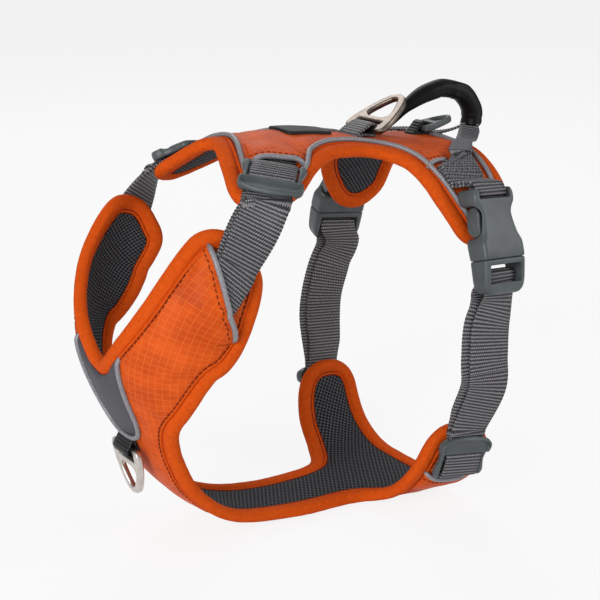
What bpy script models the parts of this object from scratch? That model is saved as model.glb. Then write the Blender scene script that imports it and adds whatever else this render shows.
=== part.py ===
"""A padded walking harness for a dog, built piece by piece.

Frame: metres, +Z up, +X towards the tail, +Y to the dog's right, origin in the middle of the girth opening.
Sizes are written in millimetres and turned into metres where a mesh is made.
"""

import math

import bmesh
import bpy
import numpy as np
from mathutils import Matrix, Vector

MM = 0.001
SIDES = ((-1, "left"), (1, "right"))
SPINE_PIECES = 10

# Layers and trim
GAP = 0.3
LAYER_GAP = 0.5
SHELL_THICKNESS = 1.2
LINING_THICKNESS = 4.0
BINDING_RADIUS = 3.6
BINDING_GAP = 0.8
PIPING_RADIUS = 1.3
PIPING_STEP = 9.0
BINDING_TURN = 9.0
BINDING_STEP = 14.0
LABEL_THICKNESS = 1.3
BADGE_THICKNESS = 1.2

# Webbing
WEBBING_WIDTH = 25.0
WEBBING_THICKNESS = 1.5
WEBBING_PLAY = 0.8
RING_WEBBING_WIDTH = 20.0
LIGHT_WEBBING_WIDTH = 9.0
LAYER_SPACING = 2.2
STRAP_OPENING = WEBBING_WIDTH + 2 * WEBBING_PLAY

# Leash rings and light loop
RING_WIDTH = 37.0
RING_LENGTH = 35.0
RING_THICKNESS = 3.6
RING_BAR = 3.2
RING_SLOT = 4.6
RING_CORNER = 4.0
RING_SIDE_SHARES = [(0.94, 0.3), (0.7, 0.62), (0.4, 0.85), (0.0, 0.93)]
RING_FOOT_SHARE = 0.86
SLOT_PLAY = 1.5
SLOT_CORNER = 1.0
EYE_WALL = 4.0
EYE_CORNER = 3.0
EYE_TIP = 1.2
EYE_WIDTH_SHARE = 0.55
EYE_LENGTH_SHARE = 0.8
BACK_RING_TAIL = 14.0
CHEST_RING_TAIL = 5.8
CHEST_RING_SHARE = 0.9
LIGHT_WIDTH = 17.0
LIGHT_LENGTH = 25.0
LIGHT_THICKNESS = 4.0
LIGHT_BAR = 2.8
LIGHT_SLOT = 4.4
LIGHT_SLOT_PLAY = 1.0
LIGHT_TAIL = 10.0

# Side-release buckle, in a frame whose Y runs up from the seam and whose Z points out
BUCKLE_SIDE = 3.7
BUCKLE_WIDTH = STRAP_OPENING + 2 * BUCKLE_SIDE
BUCKLE_THICKNESS = 11.0
FEMALE_LENGTH = 41.0
FEMALE_BAR = 4.0
FEMALE_BAR_DEPTH = 4.4
FEMALE_LOOP = math.hypot(FEMALE_BAR, FEMALE_BAR_DEPTH) / 2 + GAP + WEBBING_THICKNESS / 2
MALE_LENGTH = 19.8
BUCKLE_WALL = 3.0
BUCKLE_FACE = 2.1
STRAP_BAR_RADIUS = 1.7
STRAP_BAR_PLACE = -9.6
STRAP_BAR_LEVEL = -1.6
STRAP_BAR_LOOP = math.hypot(STRAP_BAR_RADIUS, STRAP_BAR_RADIUS) + GAP + WEBBING_THICKNESS / 2
PRONG_LENGTH = 22.0
PRONG_GAP = 0.2
PRONG_THICKNESS = 5.2
PRONG_ROOT = 2.8
TONGUE_WIDTH = 6.0
TONGUE_LENGTH = 24.0
TONGUE_THICKNESS = 4.0
TONGUE_ROOT = 3.0
WAIST_LOW = 9.0
WAIST_MIDDLE = 19.0
WAIST_HIGH = 29.0
WAIST_TURN = 4.0
WAIST_EASE = 1.4
WAIST_WALL = 0.8
WINDOW_LOW = WAIST_LOW + 2.0
WINDOW_HIGH = WAIST_HIGH - 3.0
SLOT_WALL = 2.5
EAR_CORNER = 6.0
EAR_TURN = 2.5
EAR_DROP = 1.0
MALE_CORNER = 6.0
MALE_TURN = 2.0
MALE_RAIL = 5.0
MALE_TOP_WALL = 4.5
BAR_ROOT = 1.0
# Prong outline, as places out from the female's inner wall and up from the seam
PRONG_OUTLINE = [
    (-4.5, PRONG_GAP), (-1.2, PRONG_GAP), (-1.2, WINDOW_LOW), (0.6, WINDOW_LOW + 2.4),
    (0.6, WINDOW_LOW + 9.0), (-1.4, PRONG_LENGTH), (-4.0, PRONG_LENGTH - 1.0), (-4.6, WINDOW_LOW + 2.0),
    (-3.6, WINDOW_LOW - 3.0),
]

# Strap slider
SLIDER_SIDE = 4.2
SLIDER_WIDTH = STRAP_OPENING + 2 * SLIDER_SIDE
SLIDER_LENGTH = 26.0
SLIDER_BAR = 3.5
SLIDER_CENTRE_BAR = 4.6
SLIDER_HEIGHT = 4.3
SLIDER_CORNER = 4.0
SLIDER_WINDOW_CORNER = 0.8

# Handle
HANDLE_RADIUS = 5.75

# Heights over the form's surface, where shell and lining meet
SHELL_TOP = LAYER_GAP / 2 + SHELL_THICKNESS
LINING_BOTTOM = -LAYER_GAP / 2 - LINING_THICKNESS
SHELL_MIDDLE = LAYER_GAP / 2 + SHELL_THICKNESS / 2
LINING_MIDDLE = -LAYER_GAP / 2 - LINING_THICKNESS / 2
BINDING_HEIGHT = (SHELL_TOP + LINING_BOTTOM) / 2
BINDING_OFFSET = BINDING_RADIUS + BINDING_GAP
ON_SHELL = SHELL_TOP + GAP
PIPING_HEIGHT = ON_SHELL + PIPING_RADIUS
OVER_BINDING = BINDING_HEIGHT + BINDING_RADIUS + GAP
STRAP_HEIGHT = max(ON_SHELL, OVER_BINDING) + (LAYER_SPACING + WEBBING_THICKNESS) / 2

# Strap slider heights over the strap's middle
OUTER_LAYER = LAYER_SPACING / 2
SLIDER_BOTTOM = 0.9
OUTER_BAR_BOTTOM = OUTER_LAYER + WEBBING_THICKNESS / 2 + GAP
CENTRE_BAR_TOP = 2.9
OVER_BAR = CENTRE_BAR_TOP + GAP + WEBBING_THICKNESS / 2
RAMP_START = 6.0
RAMP_END = 3.0
RAMP_RISE = 1.3

# Straps past their bars, and cutters past what they cut
BEYOND_BAR = 8.0
BAR_APPROACH = 14.0
LOOP_REACH = 16.0
PAST = 20.0

# Centre lines as (x, z)
# Sections as (u, crown radius, crown end, flank radius, flank end, skirt radius)
BACK_LINE = [(-80, 98), (-57, 100), (-14, 101), (15, 98), (45, 93), (87, 90), (135, 83)]
BACK_START = (-57, 100)
BACK_SECTIONS = [
    (-25, 36, 18, 1000, 60, 1000),
    (0, 36, 18, 1000, 60, 1000),
    (60, 90, 20, 250, 80, 250),
    (105, 160, 24, 48, 90, 250),
    (180, 160, 24, 48, 90, 250),
]
CHEST_LINE = [
    (-90, 92), (-112, 64), (-126, 32), (-132, 0), (-129, -24), (-115, -58),
    (-97, -91), (-65, -116.5), (-20, -125.5), (40, -125.5), (110, -125.5),
]
CHEST_START = (-129, -24)
CHEST_SECTIONS = [
    (-130, 500, 22, 35, 82, 170),
    (-60, 500, 25, 41, 88, 250),
    (0, 170, 20, 50, 90, 250),
    (60, 100, 20, 50, 90, 100),
    (110, 160, 22, 62, 90, 100),
    (180, 330, 22, 62, 90, 100),
    (225, 500, 20, 50, 95, 250),
    (260, 500, 23, 52, 100, 250),
    (310, 500, 23, 52, 100, 250),
]

# Half patterns, row by row: each row runs from its inner end to its outer end, as (u, v)
BACK_ROWS = [
    ((7, 0), (-8, 50)), ((14, 0), (-3, 55)), ((22, 0), (7, 56)), ((30, 0), (18, 53)), ((40, 0), (27, 46)),
    ((50, 0), (38, 38)), ((62, 0), (53, 30)), ((74, 0), (68, 26)), ((86, 0), (85, 24.5)),
    ((97, 0), (98, 28)), ((107, 0), (109, 38)), ((117, 0), (115, 51)), ((127, 0), (121, 67)),
    ((135, 0), (129, 80)), ((142, 0), (137, 88.5)), ((148, 0), (148, 90)), ((152, 0), (157, 85)),
    ((154, 0), (162, 76)),
]
CHEST_ROWS = [
    ((-101, 66), (-104, 76)), ((-97, 61), (-98, 87)), ((-84, 58), (-85, 96)), ((-58, 51), (-60, 97)),
    ((-36, 39), (-37, 92)), ((-22, 26), (-16, 81)), ((-10, 11), (4, 64)), ((-7, 0), (15, 53)),
    ((-3, 0), (19, 48)), ((20, 0), (28, 38.5)), ((45, 0), (44, 31)), ((70, 0), (70, 26.5)),
    ((100, 0), (100, 22.5)), ((140, 0), (140, 18)), ((180, 0), (180, 18)), ((198, 0), (205, 20)),
    ((211, 0), (218, 28)), ((222, 0), (225, 45)), ((232, 0), (228, 67)), ((242, 0), (235, 91)),
    ((252, 0), (248, 97)), ((263, 0), (262, 90)),
]
NOTCH_ROW = 7
BADGE_ROWS = [((-3, 0), (34, 0)), ((-6, 11), (33, 10)), ((-14, 19), (30, 17)), ((-18, 23.5), (23, 21.5))]

# Trim lines on the forms, as (u, v)
FRONT_PIPING = [(-1, 38), (4, 22), (8, 10), (10, 0)]
SIDE_PIPING = [
    (33, 39), (45, 31), (61, 24.5), (84, 21.5), (99, 25), (111, 38), (118, 54), (126, 71), (134, 81),
]
REAR_PIPING = [(156, 60), (155.2, 52), (153, 36), (150.5, 18), (150, 0)]
NECK_POCKET_PIPING = [(14, 27.5), (22, 32), (27.5, 37), (30.5, 42)]
WING_POCKET_PIPING = [(118, 47), (128, 45), (140, 45), (149, 46)]
ARM_PIPING = [(-95, 64), (-79, 75), (-54, 87), (-41, 90)]
BELLY_POCKET_PIPING = [(231, 70), (245, 67.5), (259, 67.5)]
BADGE_PIPING = [(-17, 27), (4, 26), (22, 25), (32, 22), (36, 16), (37.5, 8), (37.5, 0)]
LABEL_CENTRE = (57, 0)
LABEL_LENGTH = 31.0
LABEL_WIDTH = 24.0

# Places of the moving pieces
BACK_RING_PLACE = (102, 0)
BACK_RING_TILT = 38.0
CHEST_RING_PLACE = (45, 0)
CHEST_RING_TILT = 14.0
LIGHT_SETBACK = 5.5
LIGHT_PLACE = (REAR_PIPING[-1][0] - LIGHT_SETBACK, 0)
LIGHT_TILT = 16.0
SEAM = (82, -80, 30.9)
BUCKLE_TOP = (83.5, -68.5, 70)
BUCKLE_YAW = 8.0
HANDLE_LINE = [
    ((54.5, 0, 95.4), 1.4), ((60, 0, 98.0), 2.4), ((67, 0, 103.2), 3.2), ((75, 0, 108.8), 3.8),
    ((86, 0, 114.4), 5.2), ((95, 0, 117.2), HANDLE_RADIUS), ((105, 0, 118.4), HANDLE_RADIUS),
    ((117.5, 0, 114.6), HANDLE_RADIUS), ((125.2, 0, 105.5), HANDLE_RADIUS), ((126.4, 0, 99), HANDLE_RADIUS),
    ((125.6, 0, 94), HANDLE_RADIUS),
]
LEG_SPACING = 5.6
LEG_DROP = 3.4
LEG_LIFT = 7.0
LEG_GATHER = 26.0
GATHERED_WIDTH = 9.0
LEG_TURN = (-1.0, 3.0, -2.5)
LEG_MIDDLE = (114.0, 18.0, 87.0)
LEG_LANDING = (148, 30)
LEG_LANDING_LIFT = LEG_LIFT + 2.0
LEG_FOOT = (138, 40)
BELLY_SLIDER_PLACE = (248, -87)
BELLY_SLIDER_DIRECTION = (0.1, -1.0)
NECK_SLIDER_PLACE = (7, -52)
NECK_SLIDER_DIRECTION = (-0.6, -0.8)
NECK_SLIDER_LIFT = 1.5
STRAIGHT_REACH = 15.0
STRAIGHT_EASE = 5.0
GIRTH_POINTS = [(74, -86, -44), (75.5, -86.5, -26), (79, -85.5, -8)]
GIRTH_DIRECTIONS = [(-0.02, -1.0, 0.0), (0.0, -1.0, 0.05), (0.06, -1.0, 0.15)]
ARM_STRAP_POINTS = [(-97, -81), (-90, -84), (-84.5, -86)]
WING_STRAP_POINTS = [(138, -49), (138, -55)]
WING_LEAD = 9.0
WING_LOOP_EASE = 3.0


class Form:
    """A curved surface: a centre line in the XZ plane that carries sections of three arcs."""

    def __init__(self, line, start, sections, outward):
        self.line = smooth(line, 24)
        lengths = np.linalg.norm(np.diff(self.line, axis=0), axis=1)
        self.along = np.concatenate([[0.0], np.cumsum(lengths)])
        self.along -= self.along[np.argmin(np.linalg.norm(self.line - np.array(start), axis=1))]
        self.sections = np.array(sections, float)
        self.outward = outward

    def surface(self, u, v):
        """The point u along the line and v across it."""
        place = np.array([np.interp(u, self.along, self.line[:, i]) for i in range(2)])
        reach = 3.0
        ahead = np.array([np.interp(u + reach, self.along, self.line[:, i]) for i in range(2)])
        behind = np.array([np.interp(u - reach, self.along, self.line[:, i]) for i in range(2)])
        tangent = (ahead - behind) / np.linalg.norm(ahead - behind)
        normal = np.array([-tangent[1], tangent[0]]) * self.outward
        crown, crown_end, flank, flank_end, skirt = self.section(u)
        across, drop, angle = 0.0, 0.0, 0.0
        arcs = ((crown, 0.0, crown_end), (flank, crown_end, flank_end), (skirt, flank_end, math.inf))
        for radius, start, end in arcs:
            turn = (min(max(abs(v), start), end) - start) / radius
            across += radius * (math.sin(angle + turn) - math.sin(angle))
            drop += radius * (math.cos(angle) - math.cos(angle + turn))
            angle += turn
        place = place - drop * normal
        return np.array([place[0], math.copysign(across, v), place[1]])

    def section(self, u):
        """The arcs of the section at u; curvature runs evenly from one section to the next."""
        columns = self.sections[:, 1:].T
        radii = [1 / np.interp(u, self.sections[:, 0], 1 / column) for column in columns[::2]]
        ends = [np.interp(u, self.sections[:, 0], column) for column in columns[1::2]]
        return radii[0], ends[0], radii[1], ends[1], radii[2]

    def normal(self, u, v):
        """The direction out of the surface."""
        step = 0.5
        along = self.surface(u + step, v) - self.surface(u - step, v)
        across = self.surface(u, v + step) - self.surface(u, v - step)
        outward = np.cross(along, across) * self.outward
        return outward / np.linalg.norm(outward)

    def point(self, u, v, h=0.0):
        """The point u along, v across and h out of the surface."""
        return self.surface(u, v) + h * self.normal(u, v)


def smooth(points, pieces):
    """A smooth line through the points, with that many pieces between each two."""
    points = np.array(points, float)
    padded = np.vstack([2 * points[0] - points[1], points, 2 * points[-1] - points[-2]])
    line = []
    for before, start, end, after in zip(padded, padded[1:], padded[2:], padded[3:]):
        for step in range(pieces):
            t = step / pieces
            slope = end - before
            bow = 2 * before - 5 * start + 4 * end - after
            twist = 3 * start - before - 3 * end + after
            line.append(start + 0.5 * (slope * t + bow * t**2 + twist * t**3))
    line.append(points[-1])
    return np.array(line)


def spaced(line, step):
    """The same line with its points an even step apart."""
    lengths = np.linalg.norm(np.diff(line, axis=0), axis=1)
    along = np.concatenate([[0.0], np.cumsum(lengths)])
    count = max(2, round(along[-1] / step) + 1)
    wanted = np.linspace(0.0, along[-1], count)
    return np.stack([np.interp(wanted, along, line[:, i]) for i in range(line.shape[1])], axis=1)


def thinned(line, most_turn, longest):
    """Some of a closed line's points: few on its straight runs, more where it turns (degrees)."""
    kept = [line[0]]
    for i in range(1, len(line)):
        ahead = unit(line[(i + 1) % len(line)] - line[i])
        step = line[i] - kept[-1]
        length = np.linalg.norm(step)
        turn = math.degrees(math.acos(np.clip(np.dot(ahead, unit(step)), -1.0, 1.0)))
        if length > longest or (turn > most_turn and length > 2.0):
            kept.append(line[i])
    return np.array(kept)


def unit(vector):
    return np.array(vector, float) / np.linalg.norm(vector)


def add_material(name, colour, roughness, metallic=0.0):
    material = bpy.data.materials.new(name)
    material.use_nodes = True
    shader = material.node_tree.nodes["Principled BSDF"]
    shader.inputs["Base Color"].default_value = (*colour, 1.0)
    shader.inputs["Roughness"].default_value = roughness
    shader.inputs["Metallic"].default_value = metallic
    return material


def add_object(name, data, material, collection=None):
    made = bpy.data.objects.new(name, data)
    (collection or harness).objects.link(made)
    if material:
        data.materials.append(material)
    return made


def add_modifier(owner, kind, **settings):
    modifier = owner.modifiers.new(kind.title(), kind)
    for setting, value in settings.items():
        setattr(modifier, setting, value)
    return modifier


def sheet_mesh(name, rows):
    """An open sheet of quads over rows of points in millimetres."""
    shape = bmesh.new()
    grid = [[shape.verts.new(Vector(point) * MM) for point in row] for row in rows]
    for row, following in zip(grid, grid[1:]):
        for a, b, c, d in zip(row, row[1:], following[1:], following):
            shape.faces.new((a, b, c, d))
    bmesh.ops.recalc_face_normals(shape, faces=shape.faces)
    mesh = bpy.data.meshes.new(name)
    shape.to_mesh(mesh)
    shape.free()
    return mesh


def panel(name, form, rows, height, thickness, material, between=2, across=4):
    """A mirrored sheet on a form, from a half pattern of rows, made thick."""
    inner = smooth([row[0] for row in rows], between)
    outer = smooth([row[1] for row in rows], between)
    inner[:, 1] = np.maximum(inner[:, 1], 0.0)
    points = []
    for start, end in zip(inner, outer):
        points.append([form.point(*(start + (end - start) * i / across), height) for i in range(across + 1)])
    made = add_object(name, sheet_mesh(name, points), material)
    add_modifier(made, "MIRROR", use_axis=(False, True, False), merge_threshold=0.00001)
    add_modifier(made, "SOLIDIFY", thickness=thickness * MM, offset=0.0, use_even_offset=True)
    return made


def tube(name, points, radius, material, closed=False, sides=6, radii=None):
    """A round cord through points in millimetres."""
    curve = bpy.data.curves.new(name, "CURVE")
    curve.dimensions = "3D"
    curve.bevel_depth = radius * MM
    curve.bevel_resolution = sides // 2 - 2
    curve.use_fill_caps = not closed
    spline = curve.splines.new("POLY")
    spline.points.add(len(points) - 1)
    for i, point in enumerate(points):
        spline.points[i].co = (*(np.array(point) * MM), 1.0)
        if radii is not None:
            spline.points[i].radius = radii[i]
    spline.use_cyclic_u = closed
    return add_object(name, curve, material)


def half_outline(rows, closed_at_start):
    """The outer edge of a half pattern: its open end rows and its outer points, from centre to centre."""
    inner = [row[0] for row in rows]
    outer = [row[1] for row in rows]
    shares = (0.35, 0.7, 1.0)
    last = [tuple(np.add(outer[-1], np.subtract(inner[-1], outer[-1]) * share)) for share in shares]
    if closed_at_start:
        return inner[NOTCH_ROW::-1] + outer + last
    first = [tuple(np.add(outer[0], np.subtract(inner[0], outer[0]) * share)) for share in shares[::-1]]
    return first + outer + last


def binding(name, form, rows, material, closed_at_start):
    """The padded tape round a panel's edge, as a closed tube just outside the panel."""
    half = np.array(half_outline(rows, closed_at_start), float)
    whole = np.vstack([half, half[-2:0:-1] * (1, -1)])
    edge = spaced(smooth(np.vstack([whole, whole[:1]]), 8), 2.0)[:-1]
    line = np.array([form.point(u, v, BINDING_HEIGHT) for u, v in edge])
    normals = np.array([form.normal(u, v) for u, v in edge])
    outward = np.cross(np.roll(line, -1, axis=0) - np.roll(line, 1, axis=0), normals)
    outward /= np.linalg.norm(outward, axis=1)[:, None]
    area = np.sum(edge[:, 0] * np.roll(edge[:, 1], -1) - edge[:, 1] * np.roll(edge[:, 0], -1))
    moved = line + np.sign(area) * form.outward * outward * BINDING_OFFSET
    apart = np.linalg.norm(moved[:, None, :] - line[None, :, :], axis=2).min(axis=1)
    dense_points = moved[apart > BINDING_OFFSET - 0.3]
    points = thinned(dense_points, BINDING_TURN, BINDING_STEP)
    return tube(name, points, BINDING_RADIUS, material, closed=True, sides=8)


def piping(name, form, line, material, mirrored_whole=False, side=-1):
    """Thin cord sewn on a panel along a line of (u, v)."""
    half = [(u, v * side) for u, v in line]
    if mirrored_whole:
        half = half + [(u, -v) for u, v in half[-2::-1]]
    points = [form.point(u, v, PIPING_HEIGHT) for u, v in spaced(smooth(half, 8), PIPING_STEP)]
    return tube(name, points, PIPING_RADIUS, material)


class Spine:
    """The middle line of a strap, with the direction out of the strap at each point."""

    def __init__(self, points, normals):
        self.line = smooth(points, SPINE_PIECES)
        outward = smooth(normals, SPINE_PIECES)
        lengths = np.linalg.norm(np.diff(self.line, axis=0), axis=1)
        self.along = np.concatenate([[0.0], np.cumsum(lengths)])
        self.outward = outward / np.linalg.norm(outward, axis=1)[:, None]

    def at_point(self, number):
        """The length along the strap at one of the points that it was made from."""
        return self.along[number * SPINE_PIECES]

    def frame(self, s):
        """Place, direction along, direction out and direction across at a length along the strap."""
        place = np.array([np.interp(s, self.along, self.line[:, i]) for i in range(3)])
        over = max(0.0, s - self.along[-1])
        within = min(max(s, 1.0), self.along[-1] - 1.0)
        ahead = np.array([np.interp(within + 1, self.along, self.line[:, i]) for i in range(3)])
        behind = np.array([np.interp(within - 1, self.along, self.line[:, i]) for i in range(3)])
        tangent = unit(ahead - behind)
        out = np.array([np.interp(s, self.along, self.outward[:, i]) for i in range(3)])
        out = unit(out - np.dot(out, tangent) * tangent)
        return place + over * tangent, tangent, out, np.cross(tangent, out)


def ribbon(name, spine, path, widths, material):
    """Flat webbing along a path of (length along the spine, height over it), with a width at each point."""
    rows = []
    for (s, n), width in zip(path, np.broadcast_to(widths, len(path))):
        place, _, out, across = spine.frame(s)
        middle = place + n * out
        rows.append([middle - across * width / 2, middle + across * width / 2])
    made = add_object(name, sheet_mesh(name, rows), material)
    add_modifier(made, "SOLIDIFY", thickness=WEBBING_THICKNESS * MM, offset=0.0, use_even_offset=True)
    return made


def bend(centre, radius, start, end, pieces=6):
    """Points on a bend round a bar, as (length, height), from one angle to another in degrees."""
    angles = [math.radians(start + (end - start) * i / pieces) for i in range(pieces + 1)]
    return [(centre[0] + radius * math.cos(a), centre[1] + radius * math.sin(a)) for a in angles]


def placed(origin, across, along, outward):
    """The matrix of a local frame with X across, Y along and Z outward, from millimetres."""
    columns = Matrix((across, along, outward)).transposed().to_4x4()
    return Matrix.Translation(Vector(origin) * MM) @ columns


def plate(name, outlines, thickness, material, matrix):
    """A flat plate in local XY, from an outline and its holes, in millimetres."""
    curve = bpy.data.curves.new(name, "CURVE")
    curve.dimensions = "2D"
    curve.fill_mode = "BOTH"
    curve.extrude = thickness / 2 * MM
    for outline in outlines:
        spline = curve.splines.new("POLY")
        spline.points.add(len(outline) - 1)
        for i, point in enumerate(outline):
            spline.points[i].co = (point[0] * MM, point[1] * MM, 0.0, 1.0)
        spline.use_cyclic_u = True
    flat = add_object(name, curve, None)
    mesh = bpy.data.meshes.new_from_object(flat.evaluated_get(bpy.context.evaluated_depsgraph_get()))
    bpy.data.objects.remove(flat)
    shape = bmesh.new()
    shape.from_mesh(mesh)
    bmesh.ops.remove_doubles(shape, verts=shape.verts, dist=0.000001)
    bmesh.ops.recalc_face_normals(shape, faces=shape.faces)
    shape.to_mesh(mesh)
    shape.free()
    made = add_object(name, mesh, material)
    made.matrix_world = matrix
    return made


def set_origin(owner, point):
    """Moves a piece's origin to a point in millimetres and leaves its shape where it is."""
    place = Vector(point) * MM
    owner.data.transform(Matrix.Translation(-place))
    owner.location = place


def cut_box(owner, low, high, operation="DIFFERENCE"):
    """Cuts a box, given by its corners in the owner's own frame, out of a piece, or joins it on."""
    shape = bmesh.new()
    bmesh.ops.create_cube(shape, size=1.0)
    size = (Vector(high) - Vector(low)) * MM
    middle = (Vector(high) + Vector(low)) / 2 * MM
    home = Matrix.Translation(middle) @ Matrix.Diagonal((*size, 1.0))
    bmesh.ops.transform(shape, matrix=home, verts=shape.verts)
    mesh = bpy.data.meshes.new(owner.name + "_cutter")
    shape.to_mesh(mesh)
    shape.free()
    tool = add_object(owner.name + "_cutter", mesh, None, cutters)
    tool.matrix_world = owner.matrix_world
    tool.hide_render = True
    tool.display_type = "WIRE"
    add_modifier(owner, "BOOLEAN", object=tool, operation=operation)


def mirrored(owner, name):
    """The same piece on the dog's right side, as its own object."""
    bpy.context.view_layer.update()
    mesh = bpy.data.meshes.new_from_object(owner.evaluated_get(bpy.context.evaluated_depsgraph_get()))
    mesh.name = name
    flip = Matrix.Diagonal((1.0, -1.0, 1.0, 1.0))
    home = flip @ owner.matrix_world @ Matrix.Diagonal((-1.0, 1.0, 1.0, 1.0))
    shape = bmesh.new()
    shape.from_mesh(mesh)
    bmesh.ops.transform(shape, matrix=Matrix.Diagonal((-1.0, 1.0, 1.0, 1.0)), verts=shape.verts)
    bmesh.ops.reverse_faces(shape, faces=shape.faces)
    shape.to_mesh(mesh)
    shape.free()
    made = add_object(name, mesh, None)
    made.matrix_world = home
    return made


def rounded_rectangle(low, high, radius, pieces=3):
    """A rectangle with round corners."""
    points = []
    for x, y, turn in ((high[0] - radius, high[1] - radius, 0), (low[0] + radius, high[1] - radius, 90),
                       (low[0] + radius, low[1] + radius, 180), (high[0] - radius, low[1] + radius, 270)):
        for i in range(pieces + 1):
            angle = math.radians(turn + 90 * i / pieces)
            points.append((x + radius * math.cos(angle), y + radius * math.sin(angle)))
    return points


def mirrored_outline(half):
    """A closed outline from its right half, listed from bottom to top."""
    return half + [(-x, y) for x, y in half[::-1] if x > 0]


# Pieces
def add_back_panel():
    panel("back_shell", back, BACK_ROWS, SHELL_MIDDLE, SHELL_THICKNESS, orange_shell)
    panel("back_lining", back, BACK_ROWS, LINING_MIDDLE, LINING_THICKNESS, air_mesh)
    binding("back_binding", back, BACK_ROWS, orange_tape, False)
    piping("back_front_piping", back, FRONT_PIPING, reflective, mirrored_whole=True)
    piping("back_rear_piping", back, REAR_PIPING, reflective, mirrored_whole=True)
    for side, word in SIDES:
        piping("back_side_piping_" + word, back, SIDE_PIPING, reflective, side=side)
        piping("neck_pocket_piping_" + word, back, NECK_POCKET_PIPING, reflective, side=side)
        piping("wing_pocket_piping_" + word, back, WING_POCKET_PIPING, reflective, side=side)
    half_length = LABEL_LENGTH / 2
    label_rows = [((LABEL_CENTRE[0] - half_length, v), (LABEL_CENTRE[0] + half_length, v))
                  for v in np.linspace(0.0, LABEL_WIDTH / 2, 4)]
    height = ON_SHELL + LABEL_THICKNESS / 2
    panel("top_label", back, label_rows, height, LABEL_THICKNESS, black_rubber, 1, 3)


def add_chest_panel():
    panel("chest_shell", chest, CHEST_ROWS, SHELL_MIDDLE, SHELL_THICKNESS, orange_shell)
    panel("chest_lining", chest, CHEST_ROWS, LINING_MIDDLE, LINING_THICKNESS, air_mesh)
    binding("chest_binding", chest, CHEST_ROWS, orange_tape, True)
    panel("chest_badge", chest, BADGE_ROWS, ON_SHELL + BADGE_THICKNESS / 2, BADGE_THICKNESS, badge_fabric)
    piping("badge_piping", chest, BADGE_PIPING, reflective, mirrored_whole=True)
    for side, word in SIDES:
        piping("arm_piping_" + word, chest, ARM_PIPING, reflective, side=side)
        piping("belly_pocket_piping_" + word, chest, BELLY_POCKET_PIPING, reflective, side=side)


def ring_outlines(width, length, bar, slot, slot_width):
    """A leash ring in its own frame: bar along X at the origin, ring along +Y, with slot and opening."""
    half = width / 2
    base = -bar / 2
    foot = (half * RING_FOOT_SHARE, base)
    side = [(half * across, length * along) for across, along in RING_SIDE_SHARES]
    outer = smooth([foot, (half, base + RING_CORNER)] + side, 3)
    outline = [(half / 2, base)] + [tuple(p) for p in outer]
    slot_low, slot_high = bar / 2, bar / 2 + slot
    slot_hole = rounded_rectangle((-slot_width / 2, slot_low), (slot_width / 2, slot_high), SLOT_CORNER, 2)
    low = slot_high + EYE_WALL
    high = length * EYE_LENGTH_SHARE
    eye_half = half * EYE_WIDTH_SHARE
    eye = [(eye_half * 0.6, low), (eye_half, low + EYE_CORNER),
           (eye_half * 0.72, (low + high) / 2 + EYE_TIP), (eye_half * 0.3, high - EYE_TIP), (0.0, high)]
    return [mirrored_outline(outline), slot_hole, mirrored_outline([tuple(p) for p in smooth(eye, 2)])]


def ring_home(form, place, bar, thickness, tilt):
    """The place and axes of a ring that hinges on webbing over a form, tilted off the surface by degrees."""
    lift = ON_SHELL + WEBBING_THICKNESS + GAP + math.hypot(bar, thickness) / 2
    origin = form.point(*place, lift)
    out = form.normal(*place)
    along = unit(np.cross((0.0, 1.0, 0.0), out)) * form.outward
    angle = math.radians(tilt)
    direction = along * math.cos(angle) + out * math.sin(angle)
    across = np.array((0.0, -1.0, 0.0)) * form.outward
    return origin, across, direction, np.cross(across, direction)


def loop_webbing(name, form, place, origin, bar, thickness, width, tail, material):
    """Webbing sewn on the panel that loops round a ring's bar and comes back under itself."""
    out = form.normal(*place)
    along = unit(np.cross((0.0, 1.0, 0.0), out)) * form.outward
    reach = math.hypot(bar, thickness) / 2 + GAP + WEBBING_THICKNESS / 2
    steps = np.linspace(-tail, 0.0, 5)
    seat = ON_SHELL + WEBBING_THICKNESS / 2
    points = [form.point(place[0] + s, place[1], seat) for s in steps]
    points += [form.point(*place, seat) + along * BEYOND_BAR]
    spine = Spine(points, [form.normal(place[0] + s, place[1]) for s in steps] + [out])
    lift = np.dot(origin - form.point(*place, seat), out)
    upper = WEBBING_THICKNESS + GAP
    path = [(s + tail, 0.0) for s in np.linspace(-tail, -reach, 4)]
    path += bend((tail, lift), reach, -90, 135)
    path += [(s + tail, upper) for s in np.linspace(-2.2 * reach, -tail, 3)]
    return ribbon(name, spine, path, width, material)


def add_rings():
    for name, form, place, tilt, tail, share, metal, webbing in (
            ("back_ring", back, BACK_RING_PLACE, BACK_RING_TILT, BACK_RING_TAIL, 1.0,
             dark_nickel, grey_webbing),
            ("chest_ring", chest, CHEST_RING_PLACE, CHEST_RING_TILT, CHEST_RING_TAIL, CHEST_RING_SHARE,
             pale_nickel, black_webbing)):
        origin, across, along, out = ring_home(form, place, RING_BAR, RING_THICKNESS, tilt)
        width = RING_WEBBING_WIDTH * share
        slot_width = width + 2 * SLOT_PLAY
        outlines = ring_outlines(RING_WIDTH * share, RING_LENGTH * share, RING_BAR, RING_SLOT, slot_width)
        plate(name, outlines, RING_THICKNESS, metal, placed(origin, across, along, out))
        loop_webbing(name + "_webbing", form, place, origin, RING_BAR, RING_THICKNESS, width, tail, webbing)
    origin, across, along, out = ring_home(back, LIGHT_PLACE, LIGHT_BAR, LIGHT_THICKNESS, LIGHT_TILT)
    slot_width = LIGHT_WEBBING_WIDTH + 2 * LIGHT_SLOT_PLAY
    outlines = ring_outlines(LIGHT_WIDTH, LIGHT_LENGTH, LIGHT_BAR, LIGHT_SLOT, slot_width)
    plate("light_loop", outlines, LIGHT_THICKNESS, grey_plastic, placed(origin, across, along, out))
    loop_webbing("light_loop_webbing", back, LIGHT_PLACE, origin, LIGHT_BAR, LIGHT_THICKNESS,
                 LIGHT_WEBBING_WIDTH, LIGHT_TAIL, black_webbing)


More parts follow.
